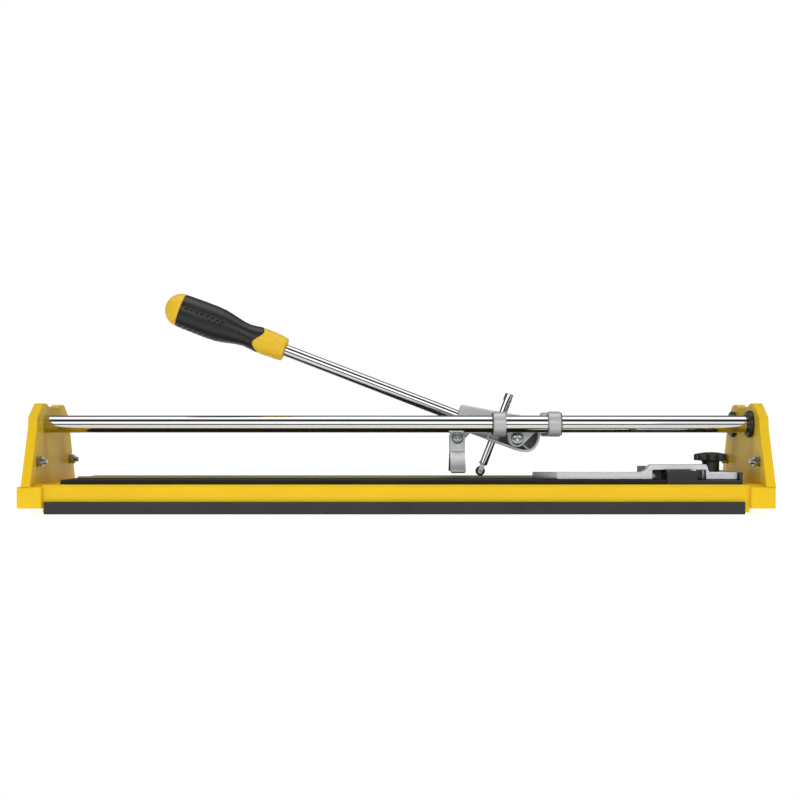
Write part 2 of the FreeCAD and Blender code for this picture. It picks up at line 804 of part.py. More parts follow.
def lever_casting():
    outline = lever_outline()
    body = lever_prism(outline, casting_half)
    pocket = shrink(outline, rim_thick)
    for side in (-1, 1):
        points = [on_lever(u, v, side * web_half) for u, v in pocket]
        body = body.cut(prism(points, vec(0, side * (casting_half - web_half + 1), 0)))
    socket = rod(tube_od / 2 + socket_wall, on_lever(tube_start - 5, 0), on_lever(socket_end, 0))
    socket = socket.common(lever_prism(outline, casting_half))
    boss = rod(boss_half, on_lever(spindle_at, boss_bottom), on_lever(spindle_at, boss_top))
    hub = rod(pivot_hub_r, vec(pivot_x, -casting_half, pivot_z), vec(pivot_x, casting_half, pivot_z))
    rib = lever_prism([(-8.0, -3.0), (-6.0, -4.5), (-18.0, -7.4), (-20.0, -5.5)], casting_half - 0.5)
    shape = union(body, socket, boss, hub, rib, foot_arm())
    shape = cut(shape, spindle_bore(spindle_fit))
    shape = shape.cut(rod(tube_od / 2, on_lever(tube_start, 0), on_lever(socket_end + 5, 0)))
    shape = shape.cut(rod(pivot_d / 2 + pivot_fit, vec(pivot_x, -20, pivot_z), vec(pivot_x, 20, pivot_z)))
    shape = shape.cut(rod(tube_pin_d / 2, on_lever(tube_pin_at, 0, -20), on_lever(tube_pin_at, 0, 20)))
    lock_end = on_lever(spindle_at - 16, lock_screw_v)
    shape = shape.cut(rod(lock_screw_d / 2, on_lever(spindle_at, lock_screw_v), lock_end))
    shape = shape.cut(rod(foot_screw_d / 2 + pivot_fit, vec(foot_x, -20, foot_z), vec(foot_x, 20, foot_z)))
    return shape


def foot_arm():
    # cast arm under the socket that carries the breaker foot
    u0, v0 = off_lever(foot_x, foot_z)
    outline = [
        (u0 + foot_eye, v0 + 3), (u0 + 6.0, -9.0), (38.0, -9.0), (46.0, -13.0),
        (u0 - foot_eye, v0 - 3), (u0, v0 - foot_eye),
    ]
    arm = lever_prism(outline, casting_half)
    return union(arm, rod(foot_eye, vec(foot_x, -casting_half, foot_z), vec(foot_x, casting_half, foot_z)))


def handle_tube():
    shape = tube(tube_od / 2, tube_od / 2 - tube_wall, on_lever(tube_start, 0), on_lever(grip_bore_end, 0))
    return shape.cut(rod(tube_pin_d / 2, on_lever(tube_pin_at, 0, -20), on_lever(tube_pin_at, 0, 20)))


def tube_pin():
    reach = socket_wall + tube_od / 2
    return rod(tube_pin_d / 2, on_lever(tube_pin_at, 0, -reach), on_lever(tube_pin_at, 0, reach))


def turned(profile):
    # solid of revolution about the handle's axis from (u, radius) points joined by a smooth curve
    points = [vec(u, radius, 0) for u, radius in profile]
    curve = Part.BSplineCurve()
    curve.interpolate(points)
    start, end = points[0], points[-1]
    first = vec(start.x, 0, 0)
    last = vec(end.x, 0, 0)
    edges = [curve.toShape(), Part.makeLine(end, last)]
    edges = edges + [Part.makeLine(last, first), Part.makeLine(first, start)]
    solid = Part.Face(Part.Wire(edges)).revolve(vec(0, 0, 0), vec(1, 0, 0), 360)
    return to_lever(solid)


def to_lever(solid):
    # moves a solid drawn along +X from the pivot onto the handle's axis
    solid.rotate(vec(0, 0, 0), vec(0, 1, 0), 180 + lever_angle)
    solid.translate(vec(pivot_x, 0, pivot_z))
    return solid


def grip_core():
    # yellow inner body: collar, tube sleeve under the black sleeve, and domed end cap
    collar = turned([
        (grip_start, grip_collar_r - 1.1), (grip_start + 6, grip_collar_r - 0.1),
        (grip_start + 16, grip_collar_r + 0.2), (grip_collar_end, grip_collar_r),
    ])
    sleeve = rod(grip_core_r, on_lever(grip_collar_end - 1, 0), on_lever(grip_cap_start + 1, 0))
    wide = 2 * grip_cap_r
    dome = Part.makeSphere(grip_cap_r).common(box(0, wide, -wide, wide, -wide, wide))
    squash = FreeCAD.Matrix()
    squash.A11 = (grip_end - grip_cap_start) / grip_cap_r
    dome = dome.transformGeometry(squash)
    dome.translate(vec(grip_cap_start, 0, 0))
    shape = union(collar, sleeve, to_lever(dome))
    return shape.cut(rod(tube_od / 2, on_lever(grip_start - 5, 0), on_lever(grip_bore_end, 0)))


def grip_sleeve():
    # black sleeve: a narrow neck behind the collar, swelling into the palm
    shape = turned([
        (grip_collar_end, grip_collar_r), (grip_collar_end + 8, grip_neck_r + 0.4),
        (grip_collar_end + 16, grip_neck_r), (grip_collar_end + 32, (grip_neck_r + grip_palm_r) / 2),
        (grip_collar_end + 50, grip_palm_r - 0.3), (grip_collar_end + 70, grip_palm_r),
        (grip_cap_start, grip_cap_r),
    ])
    return shape.cut(rod(grip_core_r, on_lever(grip_collar_end - 1, 0), on_lever(grip_cap_start + 1, 0)))


# ---- spindle and wheel ----
def spindle():
    top = on_lever(spindle_at, spindle_top)
    bottom = on_lever(spindle_at, fork_bottom)
    shape = rod(spindle_d / 2, bottom, top)
    shape = round_edges(shape, 1.6, lambda c, e: c.sub(top).Length < 1)
    flat = lever_prism([
        (spindle_at + spindle_d / 2 - flat_depth, spindle_top - 8), (spindle_at + 8, spindle_top - 8),
        (spindle_at + 8, fork_top + 2), (spindle_at + spindle_d / 2 - flat_depth, fork_top + 2),
    ], 8)
    for side in (-1, 1):
        cheek = lever_prism([
            (spindle_at + side * fork_width / 2, fork_top), (spindle_at + side * 8, fork_top),
            (spindle_at + side * 8, fork_bottom - 1), (spindle_at + side * fork_width / 2, fork_bottom - 1),
        ], 8)
        shape = shape.cut(cheek)
    slot = lever_prism([
        (spindle_at - 8, wheel_at + wheel_d / 2 + 0.8), (spindle_at + 8, wheel_at + wheel_d / 2 + 0.8),
        (spindle_at + 8, fork_bottom - 1), (spindle_at - 8, fork_bottom - 1),
    ], fork_slot / 2)
    pin = rod(wheel_pin_d / 2, on_lever(spindle_at, wheel_at, -8), on_lever(spindle_at, wheel_at, 8))
    return cut(shape, slot, pin)


def wheel_pin():
    half = spindle_d / 2 - 0.6
    return rod(wheel_pin_d / 2, on_lever(spindle_at, wheel_at, -half), on_lever(spindle_at, wheel_at, half))


def scoring_wheel():
    # disc with a bevelled cutting edge
    centre = on_lever(spindle_at, wheel_at)
    half = wheel_thick / 2
    low = vec(centre.x, -half, centre.z)
    cone = Part.makeCone(wheel_d / 2 - half, wheel_d / 2, half, low, vec(0, 1, 0))
    shape = union(cone, mirrored(cone))
    bore = rod(wheel_pin_d / 2 + wheel_pin_fit, vec(centre.x, -3, centre.z), vec(centre.x, 3, centre.z))
    return shape.cut(bore)


def lock_screw():
    # grub screw that clamps the spindle at its height
    start = on_lever(spindle_at - spindle_d / 2 - 0.3, lock_screw_v)
    return rod(lock_screw_d / 2, start, on_lever(spindle_at - lock_screw_reach, lock_screw_v))


# ---- breaker foot ----
def foot_wing():
    # strip that hangs from the screw, then spreads away from the middle and flattens towards its toe
    drop = foot_toe - foot_knee
    inner = [
        (foot_inner, foot_top), (foot_inner, foot_knee),
        (foot_inner + 0.35 * foot_spread, foot_knee + 0.28 * drop),
        (foot_inner + 0.72 * foot_spread, foot_knee + 0.64 * drop), (foot_inner + foot_spread, foot_toe),
    ]
    outer = [(y + foot_sheet, z + lift) for (y, z), lift in zip(inner, (0, 0.6, 1.2, 1.0, 0.4))]
    points = [vec(foot_x - foot_width / 2, -y, foot_z + z) for y, z in inner + outer[::-1]]
    shape = prism(points, vec(foot_width, 0, 0))
    hole = rod(foot_screw_d / 2 + pivot_fit, vec(foot_x, -foot_outer - 1, foot_z), vec(foot_x, 0, foot_z))
    return shape.cut(hole)


def breaker_foot():
    wing = foot_wing()
    top = foot_z + foot_knee - foot_web_drop
    half = foot_width / 2
    reach = foot_inner + 1.1 * foot_sheet
    web = box(foot_x - half, foot_x + half, -reach, reach, top - foot_sheet, top)
    return union(wing, mirrored(wing), web)


def foot_screw():
    seat = -foot_outer - foot_washer
    tip = foot_outer + foot_washer + foot_nut_thick + foot_screw_tail
    head = rod(foot_head_d / 2, vec(foot_x, seat - foot_head, foot_z), vec(foot_x, seat, foot_z))
    head = round_edges(head, 1.4, lambda c, e: is_at(c.y, seat - foot_head))
    return union(head, rod(foot_screw_d / 2, vec(foot_x, seat, foot_z), vec(foot_x, tip, foot_z)))


def foot_nut():
    start = vec(foot_x, foot_outer + foot_washer, foot_z)
    end = start.add(vec(0, foot_nut_thick, 0))
    return hexagon(foot_nut_across, start, end).cut(rod(foot_screw_d / 2 + pivot_fit, start, end))


def foot_washers():
    start = vec(foot_x, foot_outer, foot_z)
    end = start.add(vec(0, foot_washer, 0))
    return both_sides(tube(foot_washer_od / 2, foot_screw_d / 2 + pivot_fit, start, end))


os.makedirs("parts", exist_ok=True)
strip = foot_strip()
pad = front_pad()
pieces = {
    "base_tray": tray(),
    "left_end_shoe": shoe(-1),
    "right_end_shoe": shoe(1),
    "front_foot_strip": strip,
    "rear_foot_strip": mirrored(strip),
    "breaking_rib": breaking_rib(),
    "front_pad": pad,
    "rear_pad": mirrored(pad),
    "left_end_bracket": bracket(-1),
    "right_end_bracket": bracket(1),
    "bracket_bolts": bracket_bolts(),
    "bracket_nuts": bracket_nuts(),
    "bracket_washers": bracket_washers(),
    "front_rail": rail(-rail_y),
    "rear_rail": rail(rail_y),
    "front_rail_bushing": bushing(-rail_y),
    "rear_rail_bushing": bushing(rail_y),
    "rail_plugs": rail_plugs(),
    "rail_end_washers": rail_end_washers(),
    "rail_end_screws": rail_end_screws(),
    "end_stop": end_stop(),
    "end_stop_screws": stop_screws(),
    "fence_arm": fence_arm(),
    "fence_saddle": fence_saddle(),
    "fence_saddle_screws": saddle_screws(),
    "fence_clamp_nut": clamp_nut_piece(),
    "fence_washer": clamp_washer(),
    "fence_knob": knob(),
    "fence_clamp_stud": clamp_stud(),
    "carriage_frame": carriage_frame(),
    "carriage_liners": liners(),
    "pivot_bolt": pivot_bolt(),
    "pivot_nut": pivot_nut_piece(),
    "pivot_washers": pivot_washers(),
    "lever_casting": lever_casting(),
    "handle_tube": handle_tube(),
    "handle_tube_pin": tube_pin(),
    "grip_core": grip_core(),
    "grip_sleeve": grip_sleeve(),
    "spindle_lock_screw": lock_screw(),
    "wheel_spindle": spindle(),
    "wheel_axle": wheel_pin(),
    "scoring_wheel": scoring_wheel(),
    "breaker_foot": breaker_foot(),
    "breaker_foot_screw": foot_screw(),
    "breaker_foot_nut": foot_nut(),
    "breaker_foot_washers": foot_washers(),
}
for name, shape in pieces.items():
    save(shape, name)
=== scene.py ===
import json
import math

import bmesh
import bpy
import numpy as np
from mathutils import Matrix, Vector


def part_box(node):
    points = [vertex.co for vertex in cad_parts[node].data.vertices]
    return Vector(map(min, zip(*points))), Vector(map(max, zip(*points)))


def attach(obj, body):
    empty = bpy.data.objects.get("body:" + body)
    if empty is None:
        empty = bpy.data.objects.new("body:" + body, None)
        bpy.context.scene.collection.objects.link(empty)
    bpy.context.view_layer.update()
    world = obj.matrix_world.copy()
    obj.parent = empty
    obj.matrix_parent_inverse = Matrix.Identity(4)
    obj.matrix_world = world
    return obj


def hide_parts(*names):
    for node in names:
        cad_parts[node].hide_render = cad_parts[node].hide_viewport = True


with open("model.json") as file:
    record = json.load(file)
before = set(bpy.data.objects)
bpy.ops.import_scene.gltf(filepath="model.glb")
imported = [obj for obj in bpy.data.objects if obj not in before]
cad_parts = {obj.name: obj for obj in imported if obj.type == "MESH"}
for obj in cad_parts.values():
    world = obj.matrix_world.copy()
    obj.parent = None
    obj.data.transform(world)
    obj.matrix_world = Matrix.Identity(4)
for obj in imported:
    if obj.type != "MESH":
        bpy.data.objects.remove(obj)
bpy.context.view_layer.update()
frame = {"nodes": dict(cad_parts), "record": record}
nodes = frame["nodes"]
print("frame loaded:", len(nodes), "nodes")

tau = 2 * math.pi
mm = 0.001


class Wire:
    # one socket of a node tree; sums, differences, products and quotients of it add Math nodes
    def __init__(self, finish, socket):
        self.finish = finish
        self.socket = socket

    def maths(self, operation, first, second):
        return self.finish.node("ShaderNodeMath", {"operation": operation}, [first, second])

    def __add__(self, other):
        return self.maths("ADD", self, other)

    def __radd__(self, other):
        return self.maths("ADD", other, self)

    def __sub__(self, other):
        return self.maths("SUBTRACT", self, other)

    def __rsub__(self, other):
        return self.maths("SUBTRACT", other, self)

    def __mul__(self, other):
        return self.maths("MULTIPLY", self, other)

    def __rmul__(self, other):
        return self.maths("MULTIPLY", other, self)

    def __truediv__(self, other):
        return self.maths("DIVIDE", self, other)

    def __rtruediv__(self, other):
        return self.maths("DIVIDE", other, self)


class Finish:
    # a material or a world under construction
    def __init__(self, owner):
        owner.use_nodes = True
        self.tree = owner.node_tree
        self.tree.nodes.clear()

    def node(self, kind, settings=None, values=(), out=0):
        # settings are put in first, then each socket gets a value or a link, by its place or its name
        made = self.tree.nodes.new(kind)
        for name, value in (settings or {}).items():
            if name == "stops":
                fillRamp(made.color_ramp, value)
            else:
                setattr(made, name, value)
        pairs = values.items() if isinstance(values, dict) else enumerate(values)
        for place, value in pairs:
            if isinstance(value, Wire):
                self.tree.links.new(value.socket, made.inputs[place])
            else:
                made.inputs[place].default_value = value
        return Wire(self, made.outputs[out]) if made.outputs else None

    def noise(self, place, scale, detail=3.0, roughness=0.55):
        return self.node("ShaderNodeTexNoise", {}, {"Vector": place, "Scale": scale, "Detail": detail,
                                                    "Roughness": roughness})

    def stretched(self, place, scale):
        return self.node("ShaderNodeMapping", {}, {"Vector": place, "Scale": scale})

    def tint(self, amount, first, second):
        return self.node("ShaderNodeMix", {"data_type": "RGBA"}, {0: amount, 6: first, 7: second}, 2)

    def spread(self, value, low, high, toLow=0.0, toHigh=1.0):
        return self.node("ShaderNodeMapRange", {"clamp": True}, [value, low, high, toLow, toHigh])

    def bump(self, height, distance, strength):
        return self.node("ShaderNodeBump", {}, {"Height": height, "Distance": distance, "Strength": strength})

    def surface(self, values):
        shader = self.node("ShaderNodeBsdfPrincipled", {}, values)
        self.node("ShaderNodeOutputMaterial", {}, {"Surface": shader})


def fillRamp(ramp, stops):
    ramp.interpolation = "LINEAR"
    while len(ramp.elements) > 1:
        ramp.elements.remove(ramp.elements[-1])
    for number, (place, colour) in enumerate(stops):
        stop = ramp.elements[0] if number == 0 else ramp.elements.new(place)
        stop.position = place
        stop.color = colour


def grey(level):
    return (level, level, level, 1.0)


def newFinish(name):
    # a material, its node builder and the piece's own coordinates
    material = bpy.data.materials.new(name)
    finish = Finish(material)
    place = finish.node("ShaderNodeTexCoord", {}, (), 3)
    return material, finish, place


def powderCoat(name, colour, dull):
    # baked powder paint: orange-peel ripple, faint cloudiness and a few rubbed patches
    material, finish, place = newFinish(name)
    cloud = finish.noise(place, 14.0, 3.0)
    peel = finish.noise(place, 900.0, 2.0)
    rubbed = finish.spread(finish.noise(place, 45.0, 5.0, 0.7), 0.58, 0.75)
    base = finish.tint(finish.spread(cloud, 0.3, 0.7), colour, dull)
    finish.surface({
        "Base Color": base,
        "Roughness": 0.36 + 0.06 * peel + 0.08 * rubbed,
        "Normal": finish.bump(peel, 0.0002, 0.25),
        "Specular IOR Level": 0.08,
    })
    return material


def speckled(name, dark, light, grain, roughness, depth, strength=0.6):
    # moulded rubber, foam or plastic: fine grain in colour and height, slow cloudiness in roughness
    material, finish, place = newFinish(name)
    fine = finish.noise(place, grain, 3.0, 0.65)
    slow = finish.noise(place, 22.0, 3.0)
    finish.surface({
        "Base Color": finish.tint(finish.spread(fine, 0.35, 0.7), dark, light),
        "Roughness": finish.spread(slow, 0.3, 0.7, roughness - 0.05, roughness + 0.07),
        "Normal": finish.bump(fine, depth, strength),
    })
    return material


def metal(name, colour, dull, roughness, stretch, grain, depth=0.00004, metallic=1.0):
    # bare metal: grain, or lines of polish where stretch is low along one axis, and slow changes of tone
    material, finish, place = newFinish(name)
    lines = finish.noise(finish.stretched(place, stretch), 1.0, 4.0, 0.6)
    slow = finish.noise(place, 40.0, 4.0)
    finish.surface({
        "Base Color": finish.tint(finish.spread(slow, 0.3, 0.7), colour, dull),
        "Metallic": metallic,
        "Roughness": finish.spread(lines, 0.3, 0.7, roughness * 0.8, roughness * 1.25),
        "Normal": finish.bump(lines, depth, grain),
    })
    return material


def polished(name, colour, dull, roughness):
    # bright plating: a mirror with a faint cloudiness in tone and roughness
    material, finish, place = newFinish(name)
    slow = finish.spread(finish.noise(place, 30.0, 3.0), 0.3, 0.7)
    finish.surface({
        "Base Color": finish.tint(slow, colour, dull),
        "Metallic": 1.0,
        "Roughness": roughness + 0.03 * slow,
    })
    return material


# one finish for each material slot, and a few for pieces that differ from their slot
finishes = {
    "yellow_powder_coat": powderCoat("powderCoatYellow", (0.88, 0.57, 0.020, 1), (0.84, 0.54, 0.017, 1)),
    "grey_rubber": speckled("rubberGrey", grey(0.013), grey(0.022), 700.0, 0.66, 0.0002),
    "black_foam": speckled("foamBlack", grey(0.006), grey(0.012), 1100.0, 0.85, 0.0003, 0.8),
    "zinc_steel": metal("zincPlate", (0.33, 0.39, 0.42, 1), (0.40, 0.43, 0.38, 1), 0.22, (300, 300, 300), 0.3),
    "chrome": polished("chromePlate", grey(0.57), (0.54, 0.545, 0.55, 1), 0.05),
    "black_plastic": speckled("plasticBlack", grey(0.005), grey(0.010), 1300.0, 0.36, 0.0001),
    "fence_aluminium": metal("aluminiumExtruded", grey(0.70), (0.66, 0.67, 0.69, 1), 0.32, (6, 900, 900), 0.5),
    "cast_alloy": metal("alloyCast", grey(0.52), (0.48, 0.485, 0.49, 1), 0.42, (700, 700, 700), 0.3, 0.00006,
                        0.35),
    # cast alloy in a lighter grey than its slot's: painted light on the carriage's ears, in the shade under the
    # rails, and on the lever casting
    "castPaintedLight": metal("alloyCastPaintedLight", grey(0.68), grey(0.62), 0.42, (700, 700, 700), 0.3, metallic=0.2),
    # cast alloy in dark grey: painted shade in the lever casting's pockets and under the fence's bridge
    "castPaintedShade": metal("alloyCastPaintedShade", grey(0.12), grey(0.09), 0.5, (500, 500, 500), 0.4, metallic=0.4),
    # a duller, darker yellow for the breaking rib
    "ribDull": powderCoat("powderCoatDull", (0.38, 0.33, 0.11, 1), (0.31, 0.27, 0.10, 1)),
    "yellow_plastic": speckled("plasticYellow", (0.93, 0.575, 0.012, 1), (0.95, 0.60, 0.016, 1), 900.0, 0.52,
                               0.00005, 0.2),
    "black_rubber": speckled("rubberBlack", grey(0.003), grey(0.007), 900.0, 0.40, 0.00012),
    "carbide": metal("carbideGround", grey(0.07), (0.06, 0.062, 0.066, 1), 0.3, (900, 60, 900), 0.4),
    "foot_steel": metal("footNickel", grey(0.56), (0.52, 0.53, 0.53, 1), 0.34, (260, 260, 8), 0.12, metallic=0.75),
}
# the breaking rib takes the duller yellow, and the fence saddle the dark grey that is painted shade under the
# fence's bridge
dullAndShaded = {"breaking_rib": "ribDull", "fence_saddle": "castPaintedShade"}  # nodes whose finish differs from their slot's
slotOf = {part["node"]: part["material_slot"] for part in frame["record"]["subparts"]}
for nodeName, slotName in slotOf.items():
    nodes[nodeName].data.materials.clear()
    nodes[nodeName].data.materials.append(finishes[dullAndShaded.get(nodeName, slotName)])
print("finishes made:", len(finishes))


# shapes are worked out in millimetres until their mesh is made
class Mould:
    # collects closed surfaces and turns them into one mesh
    def __init__(self):
        self.spots = []
        self.faces = []
        self.count = 0

    def grid(self, points, ringRows=False):
        # points[row, column]: columns go round and close; rows run along and are capped, or close too
        rows, columns = points.shape[:2]
        number = np.arange(rows * columns).reshape(rows, columns) + self.count
        nextColumn = np.roll(number, -1, 1)
        top = np.roll(number, -1, 0) if ringRows else number[1:]
        topNext = np.roll(nextColumn, -1, 0) if ringRows else nextColumn[1:]
        base, baseNext = (number, nextColumn) if ringRows else (number[:-1], nextColumn[:-1])
        self.faces += np.stack([base, baseNext, topNext, top], -1).reshape(-1, 4).tolist()
        if not ringRows:
            self.faces += [number[0, ::-1].tolist(), number[-1].tolist()]
        self.spots.append(np.asarray(points, float).reshape(-1, 3))
        self.count += rows * columns
        return self

    def make(self, name, slotName, body, *stoodFor, sharp=32, finish=None):
        # the piece rides its body and takes the place of the nodes it stands for; sharp is in degrees
        mesh = bpy.data.meshes.new(name)
        mesh.from_pydata((np.concatenate(self.spots) * mm).tolist(), [], self.faces)
        loose = bmesh.new()
        loose.from_mesh(mesh)
        bmesh.ops.remove_doubles(loose, verts=loose.verts, dist=2e-7)
        bmesh.ops.dissolve_degenerate(loose, edges=loose.edges, dist=1e-7)
        bmesh.ops.recalc_face_normals(loose, faces=loose.faces)
        for face in loose.faces:
            face.smooth = True
        for edge in loose.edges:  # flat end faces keep their own shading, and so do corners past the angle
            flat = any(len(face.verts) > 4 for face in edge.link_faces)
            edge.smooth = not flat and edge.calc_face_angle(0.0) < math.radians(sharp)
        loose.to_mesh(mesh)
        loose.free()
        piece = bpy.data.objects.new(name, mesh)
        bpy.context.scene.collection.objects.link(piece)
        mesh.materials.append(finishes[finish or slotName])
        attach(piece, body)
        if stoodFor:
            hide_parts(*stoodFor)


def middle(nodeName):
    # middle of a node's box, in millimetres
    low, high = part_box(nodeName)
    return np.array((low + high) / 2) / mm


def edges(nodeName):
    # low and high corners of a node's box, in millimetres
    low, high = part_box(nodeName)
    return np.array(low) / mm, np.array(high) / mm


def softened(corners, radii, steps=6):
    # closed outline whose corners are cut back by their reach and rejoined by a curve: (1 - t) squared of the
    # first point, 2 t (1 - t) of the corner and t squared of the last point
    corners = np.asarray(corners, float)
    reach = np.broadcast_to(np.asarray(radii, float), (len(corners),))
    before = np.roll(corners, 1, 0) - corners
    after = np.roll(corners, -1, 0) - corners
    lengthBefore = np.linalg.norm(before, axis=1)
    lengthAfter = np.linalg.norm(after, axis=1)
    reach = np.minimum(reach, np.minimum(lengthBefore, lengthAfter) * 0.49)
    first = corners + before / lengthBefore[:, None] * reach[:, None]
    last = corners + after / lengthAfter[:, None] * reach[:, None]
    t = np.linspace(0, 1, steps)[None, :, None]
    curve = first[:, None] * (1 - t) ** 2 + 2 * corners[:, None] * t * (1 - t) + last[:, None] * t ** 2
    return curve.reshape(-1, 2)


def drawnIn(outline, distance):
    # each corner of a counter-clockwise outline moves in by distance * (the sum of its two sides' inward normals)
    # / (1 + the cosine of the turn between them)
    side = np.roll(outline, -1, 0) - outline
    side = side / np.maximum(np.linalg.norm(side, axis=1, keepdims=True), 1e-9)
    inward = np.stack([-side[:, 1], side[:, 0]], -1)
    before = np.roll(inward, 1, 0)
    share = 1 + np.sum(inward * before, axis=1, keepdims=True)
    return outline + (inward + before) * distance / np.maximum(share, 0.5)


def leftTurning(outline):
    # the same outline, counter-clockwise
    following = np.roll(outline, -1, 0)
    area = np.sum(outline[:, 0] * following[:, 1] - following[:, 0] * outline[:, 1])
    return outline if area > 0 else outline[::-1]


def slab(outline, low, high, edge, place, steps=4):
    # plate between two depths with rounded rims: over a quarter turn, the outline is drawn in by
    # edge * (1 - sine) at a depth of edge * (1 - cosine)
    outline = leftTurning(np.asarray(outline, float))
    turn = np.linspace(0, math.pi / 2, steps)
    inset = edge * (1 - np.sin(turn))
    depth = edge * (1 - np.cos(turn))
    insets = np.concatenate([inset, inset[::-1]])
    depths = np.concatenate([low + depth, high - depth[::-1]])
    rows = [place(drawnIn(outline, shift), level) for shift, level in zip(insets, depths)]
    return np.stack(rows)


def facingY(flat, level):
    # outline drawn in X and Z, thickness along Y
    return np.stack([flat[:, 0], np.full(len(flat), float(level)), flat[:, 1]], -1)


def turned(profile, foot, way, count=48, shape=None):
    # (along, radius) pairs carried round an axis: foot + along * way + radius * (cosine of the turn * across +
    # sine of the turn * other); shape(turn, along, radius) may vary the radius
    profile = np.asarray(profile, float)
    way = np.asarray(way, float) / np.linalg.norm(way)
    helper = np.array([0, 0, 1.0]) if abs(way[2]) < 0.9 else np.array([1.0, 0, 0])
    across = np.cross(way, helper)
    across /= np.linalg.norm(across)
    other = np.cross(way, across)
    turn = np.arange(count) / count * tau
    along, turns = np.meshgrid(profile[:, 0], turn, indexing="ij")
    radius = np.broadcast_to(profile[:, 1:2], along.shape)
    if shape is not None:
        radius = shape(turns, along, radius)
    around = np.cos(turns)[..., None] * across + np.sin(turns)[..., None] * other
    return np.asarray(foot, float) + along[..., None] * way + radius[..., None] * around


def roundCorner(along, radius, size, fromAngle, toAngle, steps=5):
    # round (along, radius) points: centre + size * (cosine, sine) of the turn, in degrees
    turn = np.radians(np.linspace(fromAngle, toAngle, steps))
    return np.stack([along + size * np.cos(turn), radius + size * np.sin(turn)], -1)


def smoothStep(x, low, high):
    # 0 below low, 1 above high and t * t * (3 - 2 * t) between
    t = np.clip((x - low) / (high - low), 0, 1)
    return t * t * (3 - 2 * t)


xWay, yWay, zWay = np.eye(3)
pivot = middle("pivot_bolt")
leverSlope = math.radians(21)  # of the handle at rest
leverWay = np.array([-math.cos(leverSlope), 0, math.sin(leverSlope)])
leverUp = np.array([math.sin(leverSlope), 0, math.cos(leverSlope)])


def onLever(flat, level):
    # outline drawn along and square to the handle from its pivot: u * leverWay + v * leverUp, thickness along Y
    flat = np.asarray(flat, float)
    spot = flat[:, :1] * leverWay + flat[:, 1:2] * leverUp
    return spot + np.array([pivot[0], 0, pivot[2]]) + np.array([0, 1.0, 0]) * float(level)


def leverSpot(u):
    # point of the handle's axis at u from the pivot
    return onLever([[u, 0]], 0)[0]


# heights of the grip over and under its axis, along the lever; a dimple row is its turn, first place and count
grip = {
    "along": (264.2, 266.0, 272.0, 280.0, 287.0, 295.0, 301.0, 308.0, 315.0, 322.0, 330.0, 338.0, 348.0, 360.0,
              372.0, 385.6),
    "top": (12.3, 12.9, 13.9, 14.4, 14.6, 14.5, 13.5, 12.6, 13.1, 14.5, 16.3, 17.8, 18.3, 18.3, 18.1, 17.7),
    "below": (-11.7, -12.2, -12.7, -13.0, -13.3, -13.1, -12.5, -11.9, -12.8, -14.3, -16.3, -17.7, -18.2, -18.2,
              -18.1, -17.8),
    "seam": 294.7, "seamWaves": (-1.5, -2.0, 2.9), "capSeam": 382.6, "capSeamBow": 0.9, "capEnd": 400.4,
    "lip": 0.35, "mouth": 2.4, "footRoll": (4.0, 1.2, 0.45, 0.12), "capRoll": (0.1, 0.4, 1.2, 4.0),
    "dimpleRows": ((0.20, 334.6, 8), (-0.03, 337.4, 3), (1.44, 336.0, 8), (1.70, 339.0, 8), (2.94, 334.6, 8),
                   (3.17, 337.4, 3), (-1.10, 336.0, 8), (-1.36, 339.0, 8), (-2.04, 336.0, 8), (-1.78, 339.0, 8)),
    "dimplePitch": 5.9, "dimpleRadius": 1.9, "dimpleDepth": 1.25,
    "core": ((288, 6.6), (288, 9.0), (387, 14.0), (387, 6.6)),
    "sleeveRows": 190, "collarRows": 60, "capRows": 46, "columns": 200,
}


def gripSection(u):
    # middle and radius at u: half the sum and half the difference of the top and bottom curves
    top = np.interp(u, grip["along"], grip["top"])
    below = np.interp(u, grip["along"], grip["below"])
    return (top + below) / 2, (top - below) / 2


def gripSpot(u, turn, sunk):
    # round section at u, shrunk by sunk: u along the lever, middle + radius * sine of the turn up, and radius *
    # cosine of the turn to the front
    centre, radius = gripSection(u)
    radius = radius - sunk
    spot = u[..., None] * leverWay + (centre + radius * np.sin(turn))[..., None] * leverUp
    return spot + np.stack([pivot[0] + 0 * u, -radius * np.cos(turn), pivot[2] + 0 * u], -1)


def gripSeam(turn):
    # where black gives way to yellow: cosines of one, two and three times the angle from the top
    fromTop = turn - math.pi / 2
    first, second, third = grip["seamWaves"]
    return grip["seam"] + first * np.cos(fromTop) + second * np.cos(2 * fromTop) + third * np.cos(3 * fromTop)


def gripCapSeam(turn):
    # bowed by the square of the sine of the turn
    return grip["capSeam"] + grip["capSeamBow"] * np.sin(turn) ** 2


def dimpleDepth(u, turn):
    # sum of round hollows in rows along the palm, each a smooth step of the distance from its middle
    depth = np.zeros_like(u)
    radius = gripSection(u)[1]
    for rowTurn, first, dimples in grip["dimpleRows"]:
        sideways = radius * (np.mod(turn - rowTurn + math.pi, tau) - math.pi)
        for number in range(dimples):
            away = np.hypot(u - first - number * grip["dimplePitch"], sideways)
            depth = depth + grip["dimpleDepth"] * (1 - smoothStep(away, 0.3, grip["dimpleRadius"]))
    return depth


def makeSleeve(turn):
    # rows run from the wavy seam to the cap's seam, and roll in under the neighbours at both ends
    size = grip
    share = np.concatenate([np.zeros(4), np.linspace(0, 1, size["sleeveRows"]), np.ones(4)])
    sunk = np.concatenate([size["footRoll"], np.zeros(size["sleeveRows"]), size["capRoll"]])[:, None]
    rows, turns = np.meshgrid(share, turn, indexing="ij")
    seam, cap = gripSeam(turns), gripCapSeam(turns)
    u = seam + rows * (cap - seam)
    lip = size["lip"] * (sunk < 0.2) * np.minimum(smoothStep(u - seam, 0, 0.8), smoothStep(cap - u, 0, 0.6))
    depth = sunk + dimpleDepth(u, turns) * (sunk == 0) - lip + size["lip"]
    Mould().grid(gripSpot(u, turns, depth)).make("gripSleeve", "black_rubber", "lever", "grip_sleeve", sharp=50)


